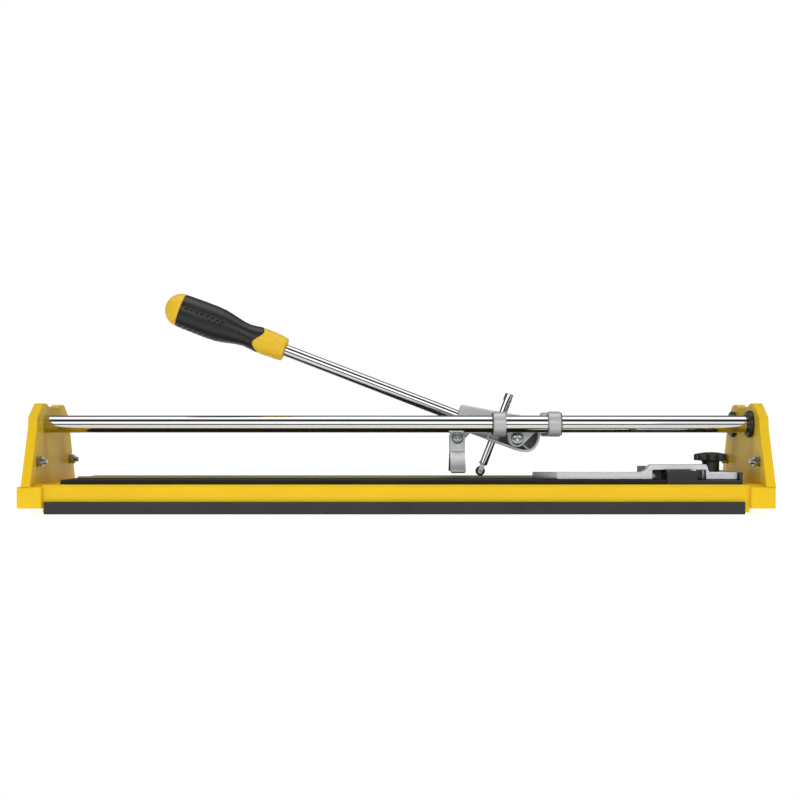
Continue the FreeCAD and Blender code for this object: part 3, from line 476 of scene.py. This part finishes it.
def addCollar(mould, turn):
    # from the rounded mouth round the tube back under the sleeve
    size = grip
    count, foot = size["collarRows"], size["along"][0]
    mouth = roundCorner(size["mouth"], 0.0, size["mouth"], 180, 90, 8)
    starts = np.concatenate([[0.0, 0.0], mouth[:, 0], np.linspace(4, count, count)])
    sinks = np.concatenate([[7.0, 4.5], size["mouth"] - mouth[:, 1], np.zeros(count)])
    rows, turns = np.meshgrid(starts, turn, indexing="ij")
    seam = gripSeam(turns)
    u = foot + rows * (seam + 2.5 - foot) / count
    tucked = 1.6 * smoothStep(u - seam, -0.5, 0.2)
    bevel = 0.5 * smoothStep(u - seam, -1.5, -0.2)
    mould.grid(gripSpot(u, turns, sinks[:, None] + tucked + bevel + 0.05))


def addCap(mould, turn):
    # dome on the sleeve's last section: a quarter of an ellipse, sine of the share along and cosine of it across
    size = grip
    share = np.concatenate([[-0.12, -0.05], np.linspace(0, 1, size["capRows"])])
    rows, turns = np.meshgrid(share, turn, indexing="ij")
    cap = gripCapSeam(turns)
    quarter = np.clip(rows, 0, 1) * math.pi / 2
    u = cap + 0.15 + np.sin(quarter) * (size["capEnd"] - cap) + np.minimum(rows, 0) * 20
    radius = gripSection(np.minimum(u, size["along"][-1]))[1]
    sink = radius * (1 - np.cos(quarter)) + 0.05 + 0.5 * (1 - smoothStep(rows, 0, 0.05))
    left = radius - (sink + 1.5 * (rows < 0))
    spot = u[..., None] * leverWay + (left * np.sin(turns))[..., None] * leverUp
    mould.grid(spot + np.stack([pivot[0] + 0 * u, -left * np.cos(turns), pivot[2] + 0 * u], -1))


def makeGrip():
    turn = np.arange(grip["columns"]) / grip["columns"] * tau
    makeSleeve(turn)
    mould = Mould()
    addCollar(mould, turn)
    addCap(mould, turn)
    mould.grid(turned(grip["core"], leverSpot(0), leverWay, 32))  # the tube that the sleeve is moulded on
    mould.make("gripCore", "yellow_plastic", "lever", "grip_core", sharp=50)


makeGrip()
print("grip made")


def addTube(mould, outer, inner, start, end, rim, columns):
    # the wall's section is a loop of (along, radius) points with rounded rims, carried round the axis
    start, end = np.asarray(start, float), np.asarray(end, float)
    length = np.linalg.norm(end - start)
    loop = np.concatenate([
        roundCorner(rim, outer - rim, rim, 180, 90), roundCorner(length - rim, outer - rim, rim, 90, 0),
        [[length, inner + 0.1], [length - 0.1, inner], [0.1, inner], [0, inner + 0.1]],
    ])
    mould.grid(turned(loop, start, end - start, columns), ringRows=True)


def addSleeve(mould, foot, way, low, high, radius, bore, rounding, columns=56):
    # straight collar between two places along its axis, rounded outside at both ends
    loop = np.concatenate([
        [[low, bore]], roundCorner(low + rounding, radius - rounding, rounding, 180, 90),
        roundCorner(high - rounding, radius - rounding, rounding, 90, 0), [[high, bore]],
    ])
    mould.grid(turned(loop, foot, way, columns), ringRows=True)


def crossDepth(x, y, arm, width):
    # recess of a cross-head driver: the deeper of two tapering slots, faded by the nearer and the farther of
    # |x| and |y|, and a round core
    near, far = np.minimum(np.abs(x), np.abs(y)), np.maximum(np.abs(x), np.abs(y))
    slot = (1 - smoothStep(near, width * 0.45, width * 0.75)) * (1 - smoothStep(far, arm * 0.8, arm))
    core = 1 - smoothStep(np.hypot(x, y), width * 0.6, width * 1.3)
    return np.maximum(slot * (1.15 - 0.5 * far / arm), core)


def addScrew(mould, seat, way, head, shank, recess, thread):
    # pan head on a shank: head and shank are (radius, length), recess is (arm, width, depth) and the head points
    # along way; its dome is radius * cosine across and the 0.8th power of the sine along, over a quarter turn
    seat = np.asarray(seat, float)
    radius, height = head
    side = 0.42 * height
    quarter = np.linspace(0, 1, 30)[1:] * math.pi / 2
    dome = np.stack([side + (height - side) * np.sin(quarter) ** 0.8, radius * np.cos(quarter)], -1)
    rim = [[0.0, shank[0]], [0.0, radius - 0.3], [0.15, radius - 0.05], [side * 0.6, radius]]
    points = turned(np.concatenate([threadedEnd(shank[0], shank[1], thread), rim, dome]), seat, way, 72)
    across = np.cross(way, zWay)
    top = points[-len(dome):] - seat
    depth = crossDepth(top @ across, top @ np.cross(way, across), recess[0], recess[1]) * recess[2]
    points[-len(dome):] -= depth[..., None] * way
    mould.grid(points)


def threadedEnd(radius, length, thread):
    # (along, radius) points of a shank below its head; thread is the length that carries ridges of 1 mm pitch
    tip = [[-length, 0.02], [-length, radius - 0.7], [-length + 0.7, radius - 0.05]]
    ridges = np.arange(int(thread * 4)) / 4.0
    tooth = np.array([0.0, 0.22, 0.45, 0.22])[np.arange(len(ridges)) % 4]
    grooves = np.stack([-length + 0.9 + ridges, radius - tooth], -1)
    return np.concatenate([tip, grooves, [[min(-length + 1.1 + thread, -0.3), radius]]])


def addNut(mould, start, way, across, thick, bore):
    # hexagon: half its width across flats / the cosine of the turn from the nearest flat, cut by a cone at both
    # ends, with a countersunk bore
    bevel = 0.09 * across
    limit = across / math.sqrt(3)
    loop = np.array([
        [0, bore + 0.4], [0, across / 2 - 0.2], [bevel, limit + 0.2], [thick / 2, limit + 0.2],
        [thick - bevel, limit + 0.2], [thick, across / 2 - 0.2], [thick, bore + 0.4], [thick - 0.4, bore],
        [0.4, bore],
    ])

    def sixSided(turns, along, radius):
        flat = across / 2 / np.cos(np.mod(turns, tau / 6) - tau / 12)
        return np.where(radius > bore + 0.5, np.minimum(radius, flat), radius)

    mould.grid(turned(loop, start, way, 60, sixSided), ringRows=True)


def addWasher(mould, start, way, radius, thick, bore):
    loop = np.array([[0, bore], [0, radius - 0.15], [0.15, radius], [thick - 0.15, radius],
                     [thick, radius - 0.15], [thick, bore]])
    mould.grid(turned(loop, start, way, 48), ringRows=True)


rails = {"rim": 0.5, "wall": 1.5, "columns": 128}
handleTube = {"radius": 6.5, "bore": 5.0, "foot": 34.3, "end": 371.5, "rim": 0.4}


def makeRails():
    for nodeName, pieceName in (("front_rail", "frontRailTube"), ("rear_rail", "rearRailTube")):
        low, high = edges(nodeName)
        centre, radius = (low + high) / 2, (high[2] - low[2]) / 2
        mould = Mould()
        addTube(mould, radius, radius - rails["wall"], (low[0], centre[1], centre[2]),
                (high[0], centre[1], centre[2]), rails["rim"], rails["columns"])
        mould.make(pieceName, "chrome", "frame", nodeName)
    size = handleTube
    tube = Mould()
    addTube(tube, size["radius"], size["bore"], leverSpot(size["foot"]), leverSpot(size["end"]),
            size["rim"], rails["columns"])
    tube.make("handleTube", "chrome", "lever", "handle_tube")


makeRails()
print("rails made")


# outlines of the casting are (along, up) from the pivot, in the lever's own frame
casting = {
    "half": 12.0, "web": 3.0, "rim": 2.5, "rimRound": 1.0,
    "tail": ((30.0, 19.6), (1.4, 25.6), (-14.5, 27.8), (-21.8, 14.4), (-23.9, 6.0), (-22.5, -3.0), (-17.2, -9.0),
             (-9.0, -11.3), (18.0, -12.0), (30.0, -11.9)),
    "tailRounds": (1, 6, 5, 7, 6, 6, 6, 6, 6, 1),
    "wedge": ((67.4, -2.0), (67.4, 13.2), (33.0, 19.3), (1.4, 25.6), (-14.0, 27.6), (-8.0, 12.0), (16.0, 9.0),
              (24.0, -2.0)),
    "socketFoot": 19.0, "socketEnd": 67.4, "socketRadius": 12.0, "socketBore": 6.5, "socketRound": 1.6,
    "bossAt": 23.0, "bossLow": -12.2, "bossHigh": 19.0, "bossRadius": 7.4, "bossBore": 4.75, "bossRound": 1.2,
    "rib": ((-7.5, -1.4), (-17.8, -6.0), (-17.0, -7.8), (-6.6, -3.4)),
    "arm": ((70.0, -19.0), (66.5, -8.0), (46.0, -8.0), (48.2, -12.3), (51.0, -19.4), (56.5, -25.4)),
    "hubRadius": 9.0, "hubBore": 4.1, "eyeRadius": 7.4, "eyeBore": 2.6, "eyeRound": 0.8,
}


def addRim(mould, outline, thick, half, rounding, place):
    # band that follows an outline: a rounded rectangle, thick inwards and 2 * half wide, carried round it
    outline = leftTurning(outline)
    section = softened([(0, -half), (thick, -half), (thick, half), (0, half)], rounding, 5)
    rows = [place(drawnIn(outline, inset), level) for inset, level in section]
    mould.grid(np.stack(rows), ringRows=True)


def makeCasting():
    size = casting
    half = size["half"]
    mould = Mould()
    tail = softened(size["tail"], size["tailRounds"], 9)
    addRim(mould, tail, size["rim"], half, size["rimRound"], onLever)
    web = slab(drawnIn(leftTurning(tail), 1.2), -size["web"], size["web"], 0.6, onLever)
    # the web between the rims takes the dark grey finish, painted shade in the pockets
    Mould().grid(web).make("leverWeb", "cast_alloy", "lever", finish="castPaintedShade")
    mould.grid(slab(softened(size["wedge"], 2.2, 6), -half, half, 1.5, onLever, 6))
    foot, end, radius = size["socketFoot"], size["socketEnd"], size["socketRadius"]
    bore, rounding = size["socketBore"], size["socketRound"]
    profile = np.concatenate([
        [[foot, 0.02]], roundCorner(foot + 1, radius - 1, 1, 180, 90),
        roundCorner(end - rounding, radius - rounding, rounding, 90, 0),
        [[end, bore + 0.9], [end - 0.9, bore + 0.05], [end - 4, bore], [end - 4, 0.02]],
    ])
    mould.grid(turned(profile, leverSpot(0), leverWay, 64))
    addSleeve(mould, leverSpot(size["bossAt"]), leverUp, size["bossLow"], size["bossHigh"], size["bossRadius"],
              size["bossBore"], size["bossRound"], 64)
    addSleeve(mould, (pivot[0], 0, pivot[2]), yWay, -half, half, size["hubRadius"], size["hubBore"],
              size["eyeRound"])
    mould.grid(slab(softened(size["rib"], 0.3, 3), -half + 0.6, half - 0.6, 0.7, onLever))
    mould.grid(slab(softened(size["arm"], 2.5, 5), -half, half, 1.0, onLever))
    footAt = middle("breaker_foot_screw")
    addSleeve(mould, (footAt[0], 0, footAt[2]), yWay, -half, half, size["eyeRadius"], size["eyeBore"],
              size["eyeRound"])
    # the lever casting takes the lighter grey, painted light
    mould.make("leverCasting", "cast_alloy", "lever", "lever_casting", sharp=40, finish="castPaintedLight")


makeCasting()
print("casting made")


carriage = {
    "ringRadius": 13.2, "ringBore": 10.72, "ringHalf": 6.75, "ringRound": 1.5, "crown": 0.12,
    "beamInner": 14.5, "beamOuter": 24.9, "beamHalf": 7.5, "beamRound": 2.5, "beamEdge": 1.4,
    "earThick": 5.0, "earRadius": 8.9, "earEdge": 1.3, "earFlanks": (22.5, -12.0), "crossMember": 9.0,
}


def ringLoop():
    # section of a ring round a rail: its face is crowned by the square of the share of its half width
    size = carriage
    half, rounding, bore = size["ringHalf"], size["ringRound"], size["ringBore"]
    radius = size["ringRadius"] - size["crown"]
    crown = np.linspace(-1, 1, 13)[1:-1]
    return np.concatenate([
        roundCorner(-half + rounding, radius - rounding, rounding, 180, 95, 7),
        np.stack([crown * (half - rounding), size["ringRadius"] - size["crown"] * crown ** 2], -1),
        roundCorner(half - rounding, radius - rounding, rounding, 85, 0, 7),
        [[half, bore + 0.4], [half - 0.4, bore], [-half + 0.4, bore], [-half, bore + 0.4]],
    ])


def earOutline(railZ):
    # round end about the pivot, joined to the beam by two straight flanks
    radius = carriage["earRadius"]
    top = railZ - carriage["beamHalf"] + 2.0
    turn = np.radians(np.linspace(200, 312, 22))
    arc = np.stack([pivot[0] + radius * np.cos(turn), pivot[2] + radius * np.sin(turn)], -1)
    return np.concatenate([arc, [(pivot[0] + flank, top) for flank in carriage["earFlanks"]]])


def block(left, right, bottom, top, rounding, steps=6):
    # rectangle with rounded corners
    return softened([(left, bottom), (right, bottom), (right, top), (left, top)], rounding, steps)


def makeCarriage():
    size = carriage
    low, high = edges("carriage_frame")
    railY, railZ = abs(middle("front_rail")[1]), middle("front_rail")[2]
    bottom, top, inner = railZ - size["beamHalf"], railZ + size["beamHalf"], size["beamInner"]
    beam = block(low[0], high[0], bottom, top, size["beamRound"])
    mould, ears = Mould(), Mould()
    for side in (-1, 1):
        for x in (low[0] + size["ringHalf"], high[0] - size["ringHalf"]):
            mould.grid(turned(ringLoop(), (x, side * railY, railZ), xWay, 80), ringRows=True)
        ends = sorted((side * inner, side * size["beamOuter"]))
        mould.grid(slab(beam, ends[0], ends[1], size["beamEdge"], facingY, 5))
        ends = sorted((side * inner, side * (inner + size["earThick"])))
        ears.grid(slab(earOutline(railZ), ends[0], ends[1], size["earEdge"], facingY, 6))
    cross = block(high[0] - size["crossMember"], high[0], bottom, top, size["beamRound"])
    mould.grid(slab(cross, -inner - 2, inner + 2, 0.5, facingY))
    mould.make("carriageFrame", "cast_alloy", "carriage", "carriage_frame", sharp=40)
    # the ears take a lighter grey than the rest of the same casting, painted light against the shade under the
    # rails
    ears.make("carriageEars", "cast_alloy", "carriage", sharp=40, finish="castPaintedLight")


makeCarriage()
print("carriage made")


spindle = {
    "at": 23.0, "radius": 4.65, "top": 42.6, "topRound": 1.5, "shoulder": -38.2, "shoulderRound": 0.4,
    "flat": 3.75, "flatFrom": -36.6, "flatTo": 34.4,
    "forkHalf": 2.5, "forkEnd": -49.0, "forkInner": 1.3, "forkOuter": 3.7, "forkRounds": (0.8, 0.8, 2.4, 2.4),
}
wheel = {"radius": 5.2, "half": 1.0, "bore": 1.3, "edge": 0.06, "bevel": 1.3}


def makeSpindle():
    size = spindle
    radius, top, shoulder = size["radius"], size["top"], size["shoulder"]
    topRound, shoulderRound = size["topRound"], size["shoulderRound"]
    rows = np.linspace(size["flatFrom"], size["flatTo"], 30)
    rows = np.sort(np.concatenate([rows, rows[[0, -1]] + [-0.02, 0.02]]))
    profile = np.concatenate([
        [[shoulder, 0.02]],
        roundCorner(shoulder + shoulderRound, radius - shoulderRound, shoulderRound, 180, 90, 4),
        np.stack([rows, np.full(len(rows), radius)], -1),
        roundCorner(top - topRound, radius - topRound, topRound, 90, 0, 8), [[top, 0.02]],
    ])
    # the turn at which the surface faces the handle
    around = turned([(0, 1.0)], (0, 0, 0), leverUp, 360)[0]
    flatTurn = math.radians(float(np.argmax(around @ leverWay)))

    def flatted(turns, along, wide):
        # between the flat's two ends the radius is at most flat / the cosine of the turn from its middle
        facing = np.cos(turns - flatTurn)
        inside = (along > size["flatFrom"] - 0.01) & (along < size["flatTo"] + 0.01) & (facing > 0)
        return np.where(inside, np.minimum(wide, size["flat"] / np.maximum(facing, 0.05)), wide)

    rod = turned(profile, leverSpot(size["at"]), leverUp, 96, flatted)
    Mould().grid(rod).make("wheelSpindle", "chrome", "spindle", "wheel_spindle", sharp=28)
    left, right = size["at"] - size["forkHalf"], size["at"] + size["forkHalf"]
    outline = softened([(left, shoulder + 1), (right, shoulder + 1), (right, size["forkEnd"]),
                        (left, size["forkEnd"])], size["forkRounds"], 8)
    fork = Mould()
    for side in (-1, 1):
        ends = sorted((side * size["forkInner"], side * size["forkOuter"]))
        fork.grid(slab(outline, ends[0], ends[1], 0.5, onLever))
    fork.make("wheelFork", "chrome", "spindle", sharp=28, finish="foot_steel")


def makeWheel():
    radius, half, bore, edge = wheel["radius"], wheel["half"], wheel["bore"], wheel["edge"]
    shoulder = radius - wheel["bevel"]
    loop = [(-half, bore), (-half, shoulder), (-edge, radius), (edge, radius), (half, shoulder), (half, bore)]
    disc = turned(loop, middle("scoring_wheel"), yWay, 72)
    Mould().grid(disc, ringRows=True).make("scoringWheel", "carbide", "wheel", "scoring_wheel", sharp=20)


makeSpindle()
makeWheel()
print("spindle and wheel made")


# heights of the foot are from its screw
foot = {
    "inner": 12.35, "sheet": 2.0, "top": 5.0, "knee": -13.0, "toe": -36.0, "spread": 20.0, "half": 8.1,
    "waist": 0.25, "waistLength": 45, "cornerTop": 4.0, "cornerToe": 1.8, "webTop": -14.0, "webThick": 2,
}


def makeFoot():
    # each wing's reach to the side grows by spread * (1.12 f ^ 1.25 - 0.12 f ^ 4), f being the share of the fall
    # from knee to toe; its sheet stands square to that curve, and its half width is rounded off at both ends by
    # the square root of (corner ^ 2 - the square of the part of the corner that is left)
    size = foot
    at = middle("breaker_foot_screw")
    z = size["top"] + np.linspace(0, 1, 70) * (size["toe"] - size["top"])
    fall = np.clip((size["knee"] - z) / (size["knee"] - size["toe"]), 0, 1)
    y = size["inner"] + size["sheet"] / 2 + size["spread"] * (1.12 * fall ** 1.25 - 0.12 * fall ** 4)
    slopeY, slopeZ = np.gradient(y, edge_order=1), np.gradient(z, edge_order=1)
    normal = np.stack([-slopeZ, slopeY], -1) / np.maximum(np.hypot(slopeY, slopeZ), 1e-6)[:, None]
    fromTop, fromToe = size["top"] - z, z - size["toe"]
    half = size["half"] - size["waist"] * np.sin(np.clip(fromTop / size["waistLength"], 0, 1) * math.pi)
    for away, corner in ((fromTop, size["cornerTop"]), (fromToe, size["cornerToe"])):
        short = np.clip(corner - away, 0, corner)
        half = half - corner + np.sqrt(np.maximum(corner ** 2 - short ** 2, 0))
    wide, thin = size["half"], size["sheet"] / 2
    section = block(-wide, wide, -thin, thin, 0.45, 4)
    across = section[:, 0] + np.sign(section[:, 0]) * (half - wide)[:, None]
    depth = section[:, 1]
    mould = Mould()
    for side in (-1, 1):
        mould.grid(np.stack([at[0] + across, side * (y[:, None] + depth * normal[:, :1]),
                             at[2] + z[:, None] + depth * normal[:, 1:]], -1))
    web = block(at[0] - wide, at[0] + wide, at[2] + size["webTop"] - size["webThick"], at[2] + size["webTop"],
                0.5, 3)
    reach = size["inner"] + size["sheet"] * 0.8
    mould.grid(slab(web, -reach, reach, 0.2, facingY))
    mould.make("breakerFoot", "foot_steel", "breaker_foot", "breaker_foot", sharp=35)


makeFoot()
print("breaker foot made")


# heads are (radius, height), recesses (arm, width, depth), nuts (across flats, bore) or (across flats, thickness,
# bore), and washers (radius, thickness, bore)
pivotBolt = {"head": (6.7, 3.6), "shank": 4.0, "recess": (3.9, 1.5, 1.5), "thread": 7, "nut": (13.0, 4.1)}
footScrew = {
    "head": (5.0, 3.0), "shank": 2.5, "recess": (3.2, 1.2, 1.2), "thread": 5, "nut": (8.0, 2.6),
    "washer": (6.3, 1.0, 2.6),
}
bracketBolt = {
    "apart": 65.0, "shank": 3.0, "head": 3.0, "reach": 10.0, "thread": 9.0, "nut": (10.0, 5.0, 3.05),
    "washer": (6.0, 1.2, 3.2), "plate": 4.5,
}


def addJointScrew(mould, nodeName, x, z, size):
    # the screw's head is at the front end of its node
    low, high = edges(nodeName)
    height = size["head"][1]
    addScrew(mould, (x, low[1] + height, z), -yWay, size["head"], (size["shank"], high[1] - low[1] - height),
             size["recess"], size["thread"])


def addJointNut(mould, nodeName, x, z, size):
    low, high = edges(nodeName)
    addNut(mould, (x, low[1], z), yWay, size["nut"][0], high[1] - low[1], size["nut"][1])


def makeFastenings():
    at = middle("breaker_foot_screw")
    for size, x, z, screw, nut in ((pivotBolt, pivot[0], pivot[2], ("pivotBolt", "pivot_bolt", "carriage"),
                                    ("pivotNut", "pivot_nut", "carriage")),
                                   (footScrew, at[0], at[2], ("footScrew", "breaker_foot_screw", "lever"),
                                    ("footNut", "breaker_foot_nut", "lever"))):
        for add, (pieceName, nodeName, body) in ((addJointScrew, screw), (addJointNut, nut)):
            mould = Mould()
            add(mould, nodeName, x, z, size)
            mould.make(pieceName, "zinc_steel", body, nodeName)
    low, high = edges("breaker_foot_washers")
    mould = Mould()
    for start, way in ((low[1], yWay), (high[1], -yWay)):
        addWasher(mould, (at[0], start, at[2]), way, *footScrew["washer"])
    mould.make("footWashers", "zinc_steel", "breaker_foot", "breaker_foot_washers")


def makeBracketBolts():
    # threaded end and nut on the inner side, hexagon head behind the plate, at both bolts of both brackets
    size = bracketBolt
    shank, head, thick = size["shank"], size["head"], size["washer"][1]
    low, high = edges("bracket_bolts")
    nutLow, nutHigh = edges("bracket_nuts")
    height = middle("bracket_bolts")[2]
    bolts, nuts, washers = Mould(), Mould(), Mould()
    for side, plate, outer in ((-1, nutLow[0] - thick, low[0]), (1, nutHigh[0] + thick, high[0])):
        way = -side * xWay
        length = abs(outer - (plate - side * size["reach"])) - head
        rod = np.concatenate([threadedEnd(shank, length, size["thread"]), [[-0.05, shank], [-0.05, 0.02]]])
        for y in (-size["apart"], size["apart"]):
            seat = np.array([outer - side * head, y, height])
            bolts.grid(turned(rod, seat, -way, 36))
            addNut(bolts, seat, -way, size["nut"][0], head, 0.4)
            addNut(nuts, (plate - side * thick, y, height), way, *size["nut"])
            addWasher(washers, (plate, y, height), way, *size["washer"])
            addWasher(washers, (plate + side * size["plate"], y, height), -way, *size["washer"])
    bolts.make("bracketBolts", "zinc_steel", "frame", "bracket_bolts")
    nuts.make("bracketNuts", "zinc_steel", "frame", "bracket_nuts")
    washers.make("bracketWashers", "zinc_steel", "frame", "bracket_washers")


makeFastenings()
makeBracketBolts()
print("fastenings made")


# the bridge's ends are measured from the right end of the arm
fence = {
    "bridgeLeft": 87.0, "bridgeRight": 32.5, "wall": 1.2, "slopeLeft": 8.0, "slopeRight": 2.3, "under": 44.1,
    "top": 49.7, "barTop": 41.7, "mitre": 24.0, "mitreReach": 40.0, "edge": 0.55,
    "rounds": (1.0, 1.0, 1.2, 1.2, 1.0, 2.0, 2.0, 2.0, 2.0, 2.0, 3.0, 1.0),
}


def makeFence():
    # mitred tip: the front is pushed back along X by mitre * its share of the width * (1 - distance from the tip /
    # mitreReach)
    size = fence
    low, high = edges("fence_arm")
    start, end = high[0] - size["bridgeLeft"], high[0] - size["bridgeRight"]
    wall, top, under, barTop = size["wall"], size["top"], size["under"], size["barTop"]
    corners = [
        (low[0], low[2]), (start, low[2]), (start, under), (end, under), (end, low[2]), (high[0], low[2]),
        (high[0], barTop), (end + wall + size["slopeRight"], barTop), (end + wall, top), (start - wall, top),
        (start - wall - size["slopeLeft"], barTop), (low[0], barTop),
    ]
    points = slab(softened(corners, size["rounds"], 6), low[1], high[1], size["edge"], facingY, 4)
    share = np.clip((high[1] - points[..., 1]) / (high[1] - low[1]), 0, 1)
    fade = np.clip(1 - (points[..., 0] - low[0]) / size["mitreReach"], 0, 1)
    points[..., 0] += size["mitre"] * share * fade
    Mould().grid(points).make("fenceArm", "fence_aluminium", "fence", "fence_arm", sharp=30)


knob = {
    "radius": 17.4, "lobes": 7, "firstLobe": 20.2, "waist": 0.17, "capBottom": 53.2, "capTop": 60.1, "dome": 1.8,
    "hubRadius": 8.85, "bore": 3.1, "rimRound": 2.0, "skirt": 1.2,
}


def makeKnob():
    # star knob: a hub under a cap whose top rises towards the middle by dome * (1 - the square of the share of the
    # radius)
    size = knob
    low, high = edges("fence_knob")
    at = (low + high) / 2
    radius, hub, rim, skirt = size["radius"], size["hubRadius"], size["rimRound"], size["skirt"]
    top, bottom = size["capTop"], size["capBottom"]
    lower = roundCorner(bottom + skirt, radius - skirt, skirt, 180, 90, 5)
    upper = roundCorner(top - rim, radius - rim, rim, 90, 0, 9)
    inward = np.linspace(1, 0, 14)[1:] * (radius - rim)
    crown = np.stack([top + size["dome"] * (1 - (inward / (radius - rim)) ** 2), inward], -1)
    neck = [(low[2], size["bore"]), (low[2], hub - 0.6), (low[2] + 0.6, hub), (bottom - 3, hub),
            (bottom - 1.2, hub + 0.3), (bottom, hub + 1.6)]

    def lobed(turns, along, wide):
        # the cap's radius dips by waist * (1 - the square root of a raised cosine of lobes * the turn)
        wave = 0.5 + 0.5 * np.cos(size["lobes"] * (turns - math.radians(size["firstLobe"])))
        dip = -size["waist"] * (1 - np.sqrt(wave))
        return wide * (1 + dip * smoothStep(wide, hub * 0.95, hub * 1.25) * (along > bottom - 2))

    profile = np.concatenate([neck, lower, upper, crown])
    star = turned(profile, (at[0], at[1], 0), zWay, 196, lobed)
    Mould().grid(star).make("starKnob", "black_plastic", "fence_knob", "fence_knob", sharp=42)


makeFence()
makeKnob()
print("fence and knob made")


# plastic collars round the rails at the right-hand bracket
collar = {
    "radius": 14.0, "round": 1.8, "flange": 5.0, "bore": 9.05, "spigot": 10.5, "groove": 0.5,
    "grooveFrom": 1.6, "grooveTo": 2.8,
}


def makeCollars():
    size = collar
    radius, rounding, bore, flange = size["radius"], size["round"], size["bore"], size["flange"]
    groove, inside, outside = size["groove"], bore + size["grooveFrom"], bore + size["grooveTo"]
    for nodeName, pieceName in (("front_rail_bushing", "frontRailCollar"),
                                ("rear_rail_bushing", "rearRailCollar")):
        low, high = edges(nodeName)
        length = high[0] - low[0]
        loop = np.concatenate([
            [[0, bore + 0.3], [0, inside], [groove, inside + 0.3], [groove, outside - 0.3], [0, outside]],
            roundCorner(rounding, radius - rounding, rounding, 180, 90, 7),
            [[flange, radius], [flange, size["spigot"]], [length, size["spigot"]], [length, bore], [0.3, bore]],
        ])
        at = (low[0], (low[1] + high[1]) / 2, (low[2] + high[2]) / 2)
        mould = Mould().grid(turned(loop, at, xWay, 72), ringRows=True)
        mould.make(pieceName, "black_plastic", "frame", nodeName)


makeCollars()
print("collars made")


# room bands are (place round the X axis, brightness); lights are (place, size, power)
studio = {
    "cameraAt": (0.00385, -1.3925, 0.0817), "lens": 58.5, "shiftUp": 0.04125, "clipEnd": 50,
    "floorLevel": 0.50, "floorGlow": 0.8, "floorHalf": 12, "floorAhead": 0.55, "floorCells": 40,
    "lights": {
        "overheadLight": ((0.0, -0.12, 1.5), (2.2, 0.55), 5.0),
        "frontLight": ((-0.2, -1.9, 0.72), (2.4, 0.42), 6.0),
    },
    "room": 0.9, "endShade": 1.0,
    "bands": (
        (0.0, 0.8), (0.05, 0.7), (0.25, 0.5), (0.44, 0.7), (0.452, 0.5), (0.458, 0.06), (0.511, 0.12),
        (0.522, 1.9), (0.583, 2.0), (0.595, 0.25), (0.613, 0.05), (0.667, 0.07), (0.70, 1.1), (0.80, 1.7),
        (0.83, 0.5), (0.86, 0.2), (0.877, 0.02), (0.937, 0.02), (0.953, 0.8), (1.0, 0.9),
    ),
}


def makeWorld():
    # bands of light by the angle round the X axis, dimmed by endShade * the square of X towards the ends of the
    # room; the backdrop itself is plain white
    world = bpy.data.worlds.new("studioRoom")
    bpy.context.scene.world = world
    finish = Finish(world)
    way = finish.node("ShaderNodeTexCoord", {}, (), 0)
    aside, forward, up = (finish.node("ShaderNodeSeparateXYZ", {}, [way], axis) for axis in range(3))
    angle = finish.node("ShaderNodeMath", {"operation": "ARCTAN2"}, [up, 0.0 - forward])
    stops = [(place, grey(level)) for place, level in studio["bands"]]
    bands = finish.node("ShaderNodeValToRGB", {"stops": stops}, [angle / tau + 0.5])
    level = studio["room"] * (1 - studio["endShade"] * (aside * aside))
    room = finish.node("ShaderNodeBackground", {}, [bands, level])
    backdrop = finish.node("ShaderNodeBackground", {}, [grey(1.0), 1.0])
    seen = finish.node("ShaderNodeLightPath", {}, (), 0)
    light = finish.node("ShaderNodeMixShader", {}, [seen, room, backdrop])
    finish.node("ShaderNodeOutputWorld", {}, [light])


def addToScene(name, data, place=(0, 0, 0)):
    holder = bpy.data.objects.new(name, data)
    holder.location = place
    bpy.context.scene.collection.objects.link(holder)
    return holder


def makeLights():
    for name, (place, size, power) in studio["lights"].items():
        lamp = bpy.data.lights.new(name, "AREA")
        lamp.shape = "RECTANGLE"
        lamp.size, lamp.size_y = size
        lamp.energy = power
        aim = Vector((0, 0, 0.05)) - Vector(place)
        addToScene(name, lamp, place).rotation_euler = aim.to_track_quat("-Z", "Y").to_euler()


def makeFloor():
    # flat square of quads, mostly behind the tool
    half, cells = studio["floorHalf"], studio["floorCells"]
    side = np.linspace(-1, 1, cells + 1)
    across, along = np.meshgrid(side * half, side * half)
    spots = np.stack([across, along + half - studio["floorAhead"], np.zeros_like(across)], -1).reshape(-1, 3)
    number = np.arange((cells + 1) ** 2).reshape(cells + 1, cells + 1)
    quads = np.stack([number[:-1, :-1], number[:-1, 1:], number[1:, 1:], number[1:, :-1]], -1).reshape(-1, 4)
    mesh = bpy.data.meshes.new("studioFloor")
    mesh.from_pydata(spots.tolist(), [], quads.tolist())
    floor = addToScene("studioFloor", mesh)
    material, finish, place = newFinish("floorPale")
    level = studio["floorLevel"]
    finish.surface({
        "Base Color": finish.tint(finish.noise(place, 30.0, 2.0), grey(level), grey(level + 0.02)),
        "Roughness": 0.7,
        "Emission Color": grey(1.0), "Emission Strength": studio["floorGlow"],
    })
    mesh.materials.append(material)


def makeCamera():
    eye = bpy.data.cameras.new("eye")
    eye.lens = studio["lens"]
    eye.shift_y = studio["shiftUp"]
    eye.clip_end = studio["clipEnd"]
    holder = addToScene("eye", eye, studio["cameraAt"])
    holder.rotation_euler = (math.pi / 2, 0, 0)
    bpy.context.scene.camera = holder


makeWorld()
makeLights()
makeFloor()
makeCamera()
bpy.context.scene.view_settings.view_transform = "Standard"
print("studio ready")
